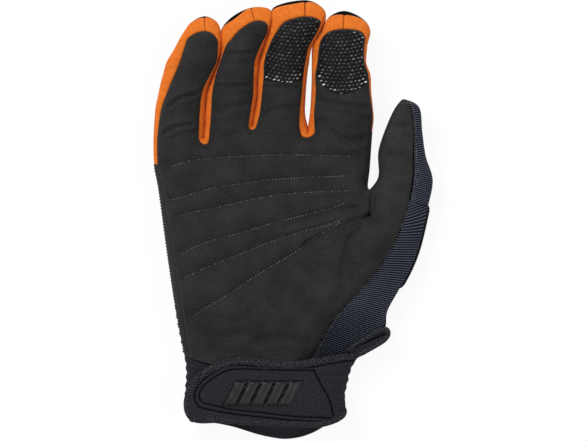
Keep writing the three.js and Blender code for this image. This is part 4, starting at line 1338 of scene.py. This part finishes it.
# %% Small lumps
def lump(rings=3, sides=8):
    """Points and faces of a half ball with unit radius, closed below."""
    points = [(0, 0, 1)]
    for k in range(1, rings + 1):
        tilt = k / rings * math.pi * 0.55
        for n in range(sides):
            turn = 2 * math.pi * n / sides
            points.append((math.sin(tilt) * math.cos(turn), math.sin(tilt) * math.sin(turn), math.cos(tilt)))
    faces = [(0, 1 + n, 1 + (n + 1) % sides) for n in range(sides)]
    for k in range(rings - 1):
        a = 1 + k * sides
        for n in range(sides):
            m = (n + 1) % sides
            faces.append((a + n, a + sides + n, a + sides + m, a + m))
    last = 1 + (rings - 1) * sides
    faces.append(tuple(last + n for n in reversed(range(sides))))
    return np.array(points), faces


def lumps(name, places, ways, normals, sizes, material, tone_and_painted_highlight=0.0):
    """One mesh with a lump at each place, long along its way and high along its normal."""
    shape, shape_faces = lump()
    sizes = np.broadcast_to(sizes, (len(places), 3))[:, None]
    side = np.cross(normals, ways)
    side /= np.linalg.norm(side, axis=1)[:, None]
    way = np.cross(side, normals)
    points = (
        places[:, None]
        + way[:, None] * shape[None, :, :1] * sizes[..., :1]
        + side[:, None] * shape[None, :, 1:2] * sizes[..., 1:2]
        + normals[:, None] * shape[None, :, 2:] * sizes[..., 2:]
    )
    faces = []
    for k in range(len(places)):
        faces += [tuple(n + k * len(shape) for n in face) for face in shape_faces]
    uv = np.column_stack([np.broadcast_to(tone_and_painted_highlight, len(places)), np.zeros(len(places))])
    return make(name, points.reshape(-1, 3), faces, np.repeat(uv, len(shape), axis=0), material)


# %% Palm stitches
STITCH_PITCH = 1.65
STITCH = (0.46, 0.27, 0.26)
HOLE = (0.34, 0.3, 0.1)
STITCH_SINK = 0.03
HOLE_SINK = 0.04


def level_ways(ways):
    """Directions in plan as level directions in space."""
    return np.column_stack([ways, np.zeros(len(ways))])


fine_lines = [even(line, round(lengths(line)[-1] / STITCH_PITCH)) for line in stitch_lines]
stitch_plan = np.vstack([(line[1:] + line[:-1]) / 2 for line in fine_lines])
stitch_way = level_ways(np.vstack([np.diff(line, axis=0) for line in fine_lines]))
stitch_places = np.column_stack([stitch_plan, leather_top(stitch_plan, no_lift) - STITCH_SINK])
stitch_normals = surface_normals(stitch_plan, no_lift)
stitch_shine = np.random.RandomState(31).uniform(0, 1, len(stitch_plan))
stitches = lumps("palm_stitches", stitch_places, stitch_way, stitch_normals, STITCH, thread, stitch_shine)
on_hand(stitches, "palm_leather")
# Painted shade of the needle holes: a flat near-black lump at each hole.
hole_plan = np.vstack([line[:-1] for line in fine_lines])
hole_places = np.column_stack([hole_plan, leather_top(hole_plan, no_lift) - HOLE_SINK])
hole_normals = surface_normals(hole_plan, no_lift)
holes = lumps("palm_needle_hole_shade", hole_places, stitch_way, hole_normals, HOLE, hole_shade)
on_hand(holes, "palm_leather")

# %% Stitches on the back
JOIN_PITCH = 2.4
JOIN_STITCH = (0.8, 0.3, 0.3)
JOIN_SINK = 0.02
join_line = even(CUFF_SEAM, round(lengths(CUFF_SEAM)[-1] / JOIN_PITCH))
join_plan = (join_line[1:] + join_line[:-1]) / 2
join_height = back_bottom(join_plan, no_lift) + wrist_dent(join_plan) + JOIN_SINK
join_places = np.column_stack([join_plan, join_height])
join_down = np.tile([0.0, 0.0, -1.0], (len(join_plan), 1))
join_way = level_ways(np.diff(join_line, axis=0))
join_row = lumps("wrist_join_stitches", join_places, join_way, join_down, JOIN_STITCH, thread)
on_hand(join_row, "back_fabric")

# %% Stitches along the mesh
MESH_STITCH = (0.4, 0.26, 0.3)
MESH_STITCH_PITCH = 1.35
mesh_rows = [(thumb_mesh, mesh_grid, "thumb"), (heel_mesh, heel_grid, None)]
for piece, grid, joint in mesh_rows:
    for column in (2, 4):
        count = round(lengths(grid[:, column])[-1] / MESH_STITCH_PITCH)
        line = even(grid[:, column if joint else column - 1], count)
        up = np.tile([0.15, 0.0, 1.0], (len(line), 1))
        up /= np.linalg.norm(up, axis=1)[:, None]
        tone_and_painted_highlight = np.random.RandomState(70 + column).uniform(0, 1, len(line))
        line_way = np.gradient(line, axis=0)
        row = lumps(f"{piece.name}_seam_{column}", line, line_way, up, MESH_STITCH, thread, tone_and_painted_highlight)
        if joint:
            on_digit(row, joint, "navy_mesh")
        else:
            on_hand(row, "navy_mesh")

# %% Film under the fingertip grip
GRIP_EDGES = {
    "middle": [[-15.5, 75], [-8, 73.6], [0, 73.3], [7.5, 75.5]],
    "index": [[10.5, 81], [17, 71.5], [25, 67.2], [33, 68.4], [43, 74]],
}
FILM_INSET = 0.9
FILM_RISE = 0.18
FILM_SINK = 0.2


def grip_outline(name, low_edge):
    """The outline of a grip: the fingertip's seam above the lower edge of the print."""
    seam = digits[name]["seam"]
    floor_y = np.interp(seam[:, 0], low_edge[:, 0], low_edge[:, 1])
    tip_part = seam[seam[:, 1] > floor_y]
    inner = low_edge[(low_edge[:, 0] > tip_part[0, 0] + 0.6) & (low_edge[:, 0] < tip_part[-1, 0] - 0.6)]
    return tidy_outline([tip_part, inner[::-1]], LEATHER_STEP)


def grip_film(name, outline):
    """The thin dark film that the dots are printed on."""
    lift = lifts[name]
    to_centre = outline.mean(0) - outline
    inset = outline + to_centre / np.linalg.norm(to_centre, axis=1)[:, None] * FILM_INSET
    made = sheet(
        name + "_grip_film",
        inset,
        lambda p: leather_top(p, lift) + FILM_RISE,
        lambda p: leather_top(p, lift) - FILM_SINK,
        film,
        step=1.2,
        rows=[0.6],
    )
    on_digit(made, name, "silicone")


# %% Dots of the fingertip grip
GRIP_TILT = {"middle": -0.08, "index": 0.06}
# Share of painted highlight on the right side of each grip.
GRIP_RIGHT_HIGHLIGHT = {"middle": 0.06, "index": 0.3}
DOT_PITCH = 2.25
DOT_ROW = 0.88
DOT_LUCK = 0.22
DOT = (0.78, 0.4, 0.32)
DOT_COUNT = 30
DOT_SEAT = 0.12
DOT_MARGIN = 1.0
ROW_SAG = 0.012
LOW_ROW = 3.2


def dot_grid(turn):
    """Places of dots in sagging rows round the origin, every other row moved by half a pitch."""
    steps = np.arange(-DOT_COUNT, DOT_COUNT + 1)
    rows, columns = np.meshgrid(steps, steps, indexing="ij")
    x = ((columns + 0.5 * (rows % 2)) * DOT_PITCH).ravel()
    y = (rows * DOT_PITCH * DOT_ROW).ravel() + ROW_SAG * x**2
    return np.column_stack([x * math.cos(turn) - y * math.sin(turn), x * math.sin(turn) + y * math.cos(turn)])


def grip_dots(name, outline, low_edge):
    """Raised dots, paler along the lower edge and on the right by a painted highlight, where the silicone
    catches the light.
    """
    lift = lifts[name]
    chance = np.random.RandomState(60 + len(name))
    spots = dot_grid(GRIP_TILT[name]) + outline.mean(0)
    spots = spots + chance.uniform(-DOT_LUCK, DOT_LUCK, spots.shape)
    spots = spots[inside(spots, outline)]
    spots = spots[near(spots, [np.vstack([outline, outline[:1]])]) > DOT_MARGIN]
    places = np.column_stack([spots, leather_top(spots, lift) + DOT_SEAT])
    ways = np.tile([1.0, 0.2, 0.0], (len(spots), 1))
    low_row = np.exp(-((near(spots, [low_edge]) / LOW_ROW) ** 2))
    right_highlight = smooth((spots[:, 0] - np.quantile(spots[:, 0], 0.6)) / 8) * GRIP_RIGHT_HIGHLIGHT[name]
    luck = chance.uniform(0, 1, len(spots))
    # Painted highlight on the lower row and on the right, over a random tone.
    tone_and_painted_highlight = 0.01 + 0.07 * luck**2 + (low_row + right_highlight) * (0.14 + 0.86 * luck**2)
    sizes = np.array(DOT) * (0.8 + 0.35 * luck + 0.25 * low_row)[:, None]
    dots = lumps(name + "_grip_dots", places, ways, surface_normals(spots, lift), sizes, silicone, tone_and_painted_highlight)
    on_digit(dots, name, "silicone", name + "_grip")
    return len(spots)


# %% Fingertip grips
for name, edge in GRIP_EDGES.items():
    low_edge = curve(edge)
    outline = grip_outline(name, low_edge)
    grip_film(name, outline)
    print(name, "grip dots:", grip_dots(name, outline, low_edge))

# %% [markdown]
# ## Cuff and strap
# A padded strap closes the wrist. It is cut from foam-backed fabric with a woven edge tape, lies over a soft
# loop patch and carries a plain ribbed rubber pad. The tape runs on past the strap as the lower lip of the
# wrist slit. A cloth simulation would swell the strap, but its remesh would lose the sewn lines, so the
# padding is worked out from the distance to them.

# %% Wrist levels
WRIST_X = -15.5
WRIST_HALF = 43.0
WRIST_ARCH = 5.3
WRIST_DROP = 8.6
CUFF_LEVEL = 17.6


def wrist_arch(x, level):
    """The height of a wrist layer, which falls from the middle of the wrist to its sides."""
    return np.maximum(level - WRIST_ARCH * np.abs((x - WRIST_X) / WRIST_HALF) ** 3, level - WRIST_DROP)


# %% Edges of the cuff
EDGE_BUMP = 0.3
EDGE_BUMP_PITCH = 4.6
PALM_LEFT_END = -104
BACK_SHOWS = 0.6
CUFF_LEFT = [[-56.9, -83], [-57.6, -97], [-55.4, -107.6]]
CUFF_RIGHT = [[48.2, -66.5], [34.6, -75.4], [29.4, -84], [28, -97], [26.4, -106.4]]
CUFF_TAIL = [
    [-53.7, -109.2], [-44, -109.6], [-32.1, -111.8], [-19.7, -115.6], [-11.6, -117.5], [-3.5, -118.5],
    [4.6, -117.5], [11.1, -115.3], [14.8, -113.4], [18.4, -111.2], [22.4, -109.2],
]
cuff_left = curve([HAND_LEFT[-1], *CUFF_LEFT], 0.4)
cuff_bumps = EDGE_BUMP * np.sin(lengths(cuff_left) * 2 * math.pi / EDGE_BUMP_PITCH)
palm_left = cuff_left - np.column_stack([cuff_bumps, cuff_bumps * 0])
palm_left = palm_left[palm_left[:, 1] > PALM_LEFT_END]
cuff_left[1:, 0] += BACK_SHOWS
cuff_right = curve([HEEL_RIM[-1], *CUFF_RIGHT])
cuff_tail = curve([CUFF_LEFT[-1], *CUFF_TAIL, CUFF_RIGHT[-1]])
rim_lines += [cuff_left, cuff_right]
print("Tail edge:", round(lengths(cuff_tail)[-1]), "mm long")

# %% Cuff back with its tail
TURN_UP = 2.5
TURN_UP_RUN = 6
CUFF_FABRIC = 1.6


def cuff_bottom(p):
    """The outside of the cuff's back, with the tail's edge turned up a little."""
    turn_up = TURN_UP * (1 - np.minimum(near(p, [cuff_tail]) / TURN_UP_RUN, 1)) ** 2
    return back_bottom(p, no_lift) + turn_up * smooth((PALM_LEFT_END - p[:, 1]) / 8)


cuff_parts = [cuff_left, cuff_tail, cuff_right[::-1], np.array([WRIST_MIDDLE])]
cuff_back = sheet(
    "cuff_back_knit",
    tidy_outline(cuff_parts, 0.8),
    lambda p: cuff_bottom(p) + CUFF_FABRIC,
    cuff_bottom,
    cuff_knit,
    step=1.8,
    rows=[0.5, 1.2, 2.4],
)
on_hand(cuff_back, "cuff_fabric", "cuff_back")

# %% Cuff under the strap
CUFF_PALM = [
    [-54, -107], [25.4, -105.8], [27.8, -98], [28.2, -88], [30.5, -79],
    [31, -76.5], [24, -75.4], [10, -77], [-36, -77.5], [-52, -73.4],
]
CUFF_ROLL = 3
CUFF_ROLL_RUN = 3.2
cuff_palm_outline = tidy_outline([palm_left, np.array(CUFF_PALM, float)], 1.2)


def cuff_roll(p):
    """How far the cuff's palm side drops where it turns round the side of the wrist."""
    return CUFF_ROLL * (1 - np.minimum(near(p, [palm_left]) / CUFF_ROLL_RUN, 1)) ** 2


cuff_palm = sheet(
    "cuff_palm_knit",
    cuff_palm_outline,
    lambda p: wrist_arch(p[:, 0], CUFF_LEVEL + 1.2) - cuff_roll(p) + 0.12 * waves(p[:, 0], p[:, 1], 8, 41),
    lambda p: wrist_arch(p[:, 0], CUFF_LEVEL) - cuff_roll(p) - 0.3,
    strap_cloth,
    step=1.4,
    rows=[0.4, 1, 1.8],
)
on_hand(cuff_palm, "cuff_fabric", "cuff_palm")

# %% Hook and loop patches
LOOP_TOP = 20.1
LOOP_BOTTOM = 19.0
HOOK_TOP = 21.5
HOOK_BOTTOM = 20.4


def rounded_box(from_x, to_x, from_y, to_y, radius):
    """A rectangle with round corners."""
    corner = np.linspace(0, math.pi / 2, 8)
    centre = np.array([from_x + to_x, from_y + to_y]) / 2
    parts = []
    for k, place in enumerate([(to_x, to_y), (from_x, to_y), (from_x, from_y), (to_x, from_y)]):
        turn = corner + k * math.pi / 2
        middle = np.array(place) - radius * np.sign(np.array(place) - centre)
        parts.append(middle + radius * np.column_stack([np.cos(turn), np.sin(turn)]))
    return tidy_outline(parts, 1.0)


loop_patch = sheet(
    "loop_fuzz",
    rounded_box(-49, 14, -105, -80, 2),
    lambda p: wrist_arch(p[:, 0], LOOP_TOP) + 0.1 * waves(p[:, 0], p[:, 1], 2.5, 42),
    lambda p: wrist_arch(p[:, 0], LOOP_BOTTOM),
    fuzz,
    step=1.4,
    rows=[0.5],
)
on_hand(loop_patch, "fastener_fabric", "loop_patch")
hook_patch = sheet(
    "hook_fuzz",
    rounded_box(-45, -4, -102, -84, 2),
    lambda p: wrist_arch(p[:, 0], HOOK_TOP),
    lambda p: wrist_arch(p[:, 0], HOOK_BOTTOM) + 0.1 * waves(p[:, 0], p[:, 1], 1.5, 43),
    fuzz,
    step=1.4,
    rows=[0.5],
)
sew(hook_patch, "fastener_fabric", "strap_hook_patch")
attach(hook_patch, "strap")

# %% Strap outline
STRAP_TOP = [[31.6, -71.4], [22.8, -72.3], [12.4, -74.1], [2, -75.6], [-10, -75.1], [-32.7, -73.4]]
STRAP_NOSE = [
    [-42.1, -77], [-49.9, -82.4], [-55.9, -89], [-57.8, -95], [-58.4, -102], [-56.9, -106.8], [-52.5, -108.6],
]
STRAP_FOOT = [
    [-33.2, -110], [-11.6, -111.3], [10, -112], [20, -111.5], [26.4, -109.6], [29.4, -105.6], [30.6, -101],
]
STRAP_END = [[28.9, -96.4], [29.1, -92.5], [30.2, -88], [31.3, -83], [33, -78.6], [35.4, -74.8]]
STRAP_STEP = 0.35
strap_edge = curve([*STRAP_TOP, *STRAP_NOSE, *STRAP_FOOT], STRAP_STEP)
edge_run = np.gradient(strap_edge, axis=0)
edge_run /= np.linalg.norm(edge_run, axis=1)[:, None]
edge_in = np.column_stack([-edge_run[:, 1], edge_run[:, 0]])
end_line = curve(STRAP_END, STRAP_STEP)
end_wave = EDGE_BUMP * np.sin(lengths(end_line) * 2 * math.pi / EDGE_BUMP_PITCH)
end_line[:, 0] += end_wave * np.sin(np.linspace(0, math.pi, len(end_line))) ** 0.5
print("Strap edge:", round(lengths(strap_edge)[-1]), "mm long")


# %% Strap pieces in place
def strap_bends(thing):
    """Bakes a strap piece's place into its points."""
    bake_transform(thing)


# %% Sewn lines of the strap
SEAM_POINTS = [[11.9, -80.8], [16.6, -89.4], [20.7, -97.7], [22.8, -106.4]]
PANEL_TOP = [[11.9, -80.8], [-10, -80.5], [-28, -80]]
PANEL_NOSE = [
    [-34.8, -81], [-40, -83.6], [-44.7, -86.8], [-48.2, -90.3],
    [-49.8, -94.6], [-47.8, -98.2], [-42.1, -99.6],
]
PANEL_FOOT = [[-31.7, -101.9], [-17, -103.4], [2, -105.6], [22.8, -106.6]]
GROOVE_TOP = [[33.4, -75.4], [20.2, -77.4], [9.8, -79], [-10, -78.8], [-32, -78]]
GROOVE_NOSE = [
    [-40, -80.6], [-45, -84], [-49.3, -87.8], [-51.8, -92], [-52.3, -95.6], [-50.6, -99.4], [-47, -101.4],
]
GROOVE_FOOT = [[-31.7, -104.2], [-17, -105.8], [2, -107.8], [20, -108.5], [25.4, -106.4]]
SEWN_STEP = 0.5
seam_line = curve(SEAM_POINTS, SEWN_STEP)
panel_line = curve([*PANEL_TOP, *PANEL_NOSE, *PANEL_FOOT], SEWN_STEP)
groove_line = curve([*GROOVE_TOP, *GROOVE_NOSE, *GROOVE_FOOT], SEWN_STEP)
print("Sewn on the strap:", round(lengths(panel_line)[-1] + lengths(seam_line)[-1]), "mm")

# %% Heights of the strap
STRAP_LEVEL = 21.7
STRAP_THICK = 1.7
PANEL_DENT = (0.7, 0.4)
SEAM_DENT = (1.1, 0.5)
PANEL_CROWN = 0.7
END_ROLL = 4.2
END_TUCK = 1.6
FOLD_HEIGHT = 0.35
LEAST_THICK = 0.6
SEWN_FROM, SEWN_RUN = 18, 7
TUCK_RUN = 2.2


def strap_top(p):
    """The face of the strap: padded, with sewn lines, rolled down and gathered at its end."""
    x, y = p[:, 0], p[:, 1]
    panel_gap = near(p, [panel_line])
    sewn_gap = near(p, [seam_line, groove_line])
    z = wrist_arch(x, STRAP_LEVEL + STRAP_THICK)
    z = z + valley_of(panel_gap, *PANEL_DENT) + valley_of(sewn_gap, *SEAM_DENT)
    z = z + PANEL_CROWN * (1 - np.exp(-panel_gap / 4))
    roll = (1 - np.minimum(near(p, [end_line]) / 6, 1)) ** 2
    seam_x = np.interp(y, seam_line[::-1, 1], seam_line[::-1, 0])
    gathered = smooth((x - seam_x - 1) / 5) * smooth((-77 - y) / 3)
    folds = FOLD_HEIGHT * np.sin(y * 2 * math.pi / EDGE_BUMP_PITCH + 0.8 * np.sin(x * 0.5)) * gathered
    return z - END_ROLL * roll + folds + 0.12 * waves(x, y, 9, 51)


def strap_bottom(p):
    """The underside of the strap, which comes down to the cuff where the strap is sewn on."""
    thin = strap_top(p) - LEAST_THICK
    free = np.minimum(thin, wrist_arch(p[:, 0], STRAP_LEVEL))
    sewn = wrist_arch(p[:, 0], CUFF_LEVEL + 1.3)
    share = smooth((p[:, 0] - SEWN_FROM) / SEWN_RUN)
    tuck = END_TUCK * (1 - np.minimum(near(p, [end_line]) / TUCK_RUN, 1))
    return np.minimum(thin, free * (1 - share) + sewn * share) - tuck


# %% Strap face
FACE_INSET = 1.4
strap_face = sheet(
    "strap_face",
    tidy_outline([strap_edge + edge_in * FACE_INSET, end_line], 0.8),
    strap_top,
    strap_bottom,
    strap_cloth,
    step=0.8,
    rows=[0.35, 0.8],
    lines=[panel_line, seam_line, groove_line],
)
# Painted shade along the sewn lines and the groove of the strap.
paint_groove_shade(strap_face, [panel_line, seam_line], 0.42)
paint_groove_shade(strap_face, [groove_line], 0.6)
sew(strap_face, "strap_fabric", "strap_panel", "strap_anchor")
strap_bends(strap_face)

# %% Line of the edge tape
TAPE_HALF = 2.2
LIP_HALF = 1.45
LIP_END, LIP_RUN = 46, 16
FOOT_NARROWER = 0.5
FOOT_LENGTH, FOOT_RUN = 85, 15
SLIT_LIP = [
    [29.6, -70.6], [34.3, -67.3], [42.4, -62.3], [48.4, -58.8], [51.5, -59.2],
    [52, -61.8], [49.4, -65], [42.4, -69.2], [36, -72.4],
]
strap_part = strap_edge + edge_in * TAPE_HALF
tape_line = curve([*SLIT_LIP, *strap_part[12::40], strap_part[-1]], STRAP_STEP)
tape_way = lengths(tape_line)
tape_run = np.gradient(tape_line, axis=0)
tape_in = np.column_stack([-tape_run[:, 1], tape_run[:, 0]]) / np.linalg.norm(tape_run, axis=1)[:, None]
tape_half = LIP_HALF + (TAPE_HALF - LIP_HALF) * smooth((tape_way - LIP_END) / LIP_RUN)
tape_half = tape_half - FOOT_NARROWER * smooth((tape_way - tape_way[-1] + FOOT_LENGTH) / FOOT_RUN)
print("Tape:", round(tape_way[-1]), "mm long")

# %% Edge tape
TAPE_HIGH = 1.75
TAPE_LEAN = 0.9
TAPE_ROWS = 15
TAPE_TURN = 0.16
TAPE_THICK = 0.7
TAPE_END = 3.5
tape_turns = np.linspace(-TAPE_TURN, 1 + TAPE_TURN, TAPE_ROWS) * math.pi
uneven = 0.1 * waves(tape_way, tape_way * 0, 3, 52)
tape_ends = np.minimum(1, np.minimum(tape_way, tape_way[-1] - tape_way) / TAPE_END)
taper = np.sqrt(1 - (1 - tape_ends) ** 2) * 0.9 + 0.1
tape_z = wrist_arch(tape_line[:, 0], STRAP_LEVEL + 0.7)
tape_rows = []
for turn in tape_turns:
    out = -math.cos(turn) * tape_half * taper
    up = np.sign(math.sin(turn)) * abs(math.sin(turn)) ** 0.7 * (TAPE_HIGH + uneven) * taper
    tape_rows.append(np.column_stack([tape_line + tape_in * out[:, None], tape_z + up]))
tape_drop = np.linspace(0, 6, TAPE_ROWS)
tape_uv = np.stack(np.meshgrid(tape_way, tape_drop, indexing="ij"), axis=2)
tape_uv[..., 0] += TAPE_LEAN * tape_uv[..., 1]
tape = band("strap_tape", np.stack(tape_rows, axis=1), TAPE_THICK, binding_cloth, tape_uv)
sew(tape, "strap_fabric", "strap_binding", "wrist_tab")
strap_bends(tape)

# %% Hem in the slit
SLIT_DENT = (1.6, 0.55)
HEM_ROLL = 0.8
SLIT_GAP = curve([[29.2, -71], [36, -67.6], [44, -64.2], [50.2, -61.4]])
slit_outline = tidy_outline([curve(SLIT_LIP, 0.7)], 0.7)


def hem_top(p):
    """Folded fabric between the lips, parted by the slit."""
    gap = near(p, [SLIT_GAP])
    fold = HEM_ROLL * np.exp(-(((gap - 1.3) / 0.8) ** 2)) + valley_of(gap, *SLIT_DENT)
    return wrist_arch(p[:, 0], STRAP_LEVEL + 1.3) + fold + 0.25 * waves(p[:, 0], p[:, 1], 5, 44)


slit_hem = sheet(
    "slit_hem",
    slit_outline,
    hem_top,
    lambda p: hem_top(p) - 0.8,
    strap_cloth,
    step=0.8,
    rows=[0.4],
    lines=[SLIT_GAP],
)
# Painted shade in the slit between the lips.
paint_groove_shade(slit_hem, [SLIT_GAP], 0.42)
on_hand(slit_hem, "strap_fabric")

# %% Outline of the rubber pad
PAD = {"x": -15.5, "y": -93.0, "length": 37.0, "height": 14.0, "slant": 7.0, "pitch": 7.4}


def pad_place(across, up):
    """A place on the slanted pad, from its shares across and up, which are zero in the middle."""
    return [PAD["x"] + across * PAD["length"] + up * PAD["slant"], PAD["y"] + up * PAD["height"]]


pad_corners = [[-0.5, -0.5], [0.5, -0.5], [0.5, 0.5], [-0.5, 0.5]]
pad_outline = tidy_outline([np.array([pad_place(across, up) for across, up in pad_corners])], 0.4)
pad_edge = np.vstack([pad_outline, pad_outline[:1]])
pad_channels = []
for k in range(-2, 4):
    across = (k - 0.5) * PAD["pitch"] / PAD["length"]
    pad_channels.append(np.array([pad_place(across, -0.5), pad_place(across, 0.5)]))
print("Channels in the pad:", len(pad_channels))

# %% Rubber pad
PAD_SEAT = 0.2
BAR_HEIGHT = 0.9
BAR_DOME = 0.35


def pad_top(p):
    """Slanted bars with soft shoulders between narrow channels, and a bevelled outer edge."""
    across = p[:, 0] - PAD["slant"] * (p[:, 1] - PAD["y"]) / PAD["height"] - PAD["x"]
    share = np.abs(((across / PAD["pitch"] + 0.5) % 1) - 0.5) * PAD["pitch"]
    bar = smooth((PAD["pitch"] / 2 - share - 0.45) / 0.8)
    bevel = smooth((near(p, [pad_edge]) - 0.5) / 0.9)
    dome = BAR_DOME * (1 - (2 * share / PAD["pitch"]) ** 2)
    return strap_top(p) + PAD_SEAT + (BAR_HEIGHT + dome) * bar * bevel


pad = sheet(
    "strap_pad_rubber",
    pad_outline,
    pad_top,
    lambda p: strap_top(p) - 0.25,
    rubber,
    step=0.4,
    rows=[0.25, 0.5, 0.8],
)
# Painted shade round the pad's edge and in its channels.
paint_groove_shade(pad, [pad_edge, *pad_channels], 0.5)
sew(pad, "rubber", "strap_grip")
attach(pad, "strap")

# %% Finish
bpy.context.view_layer.update()
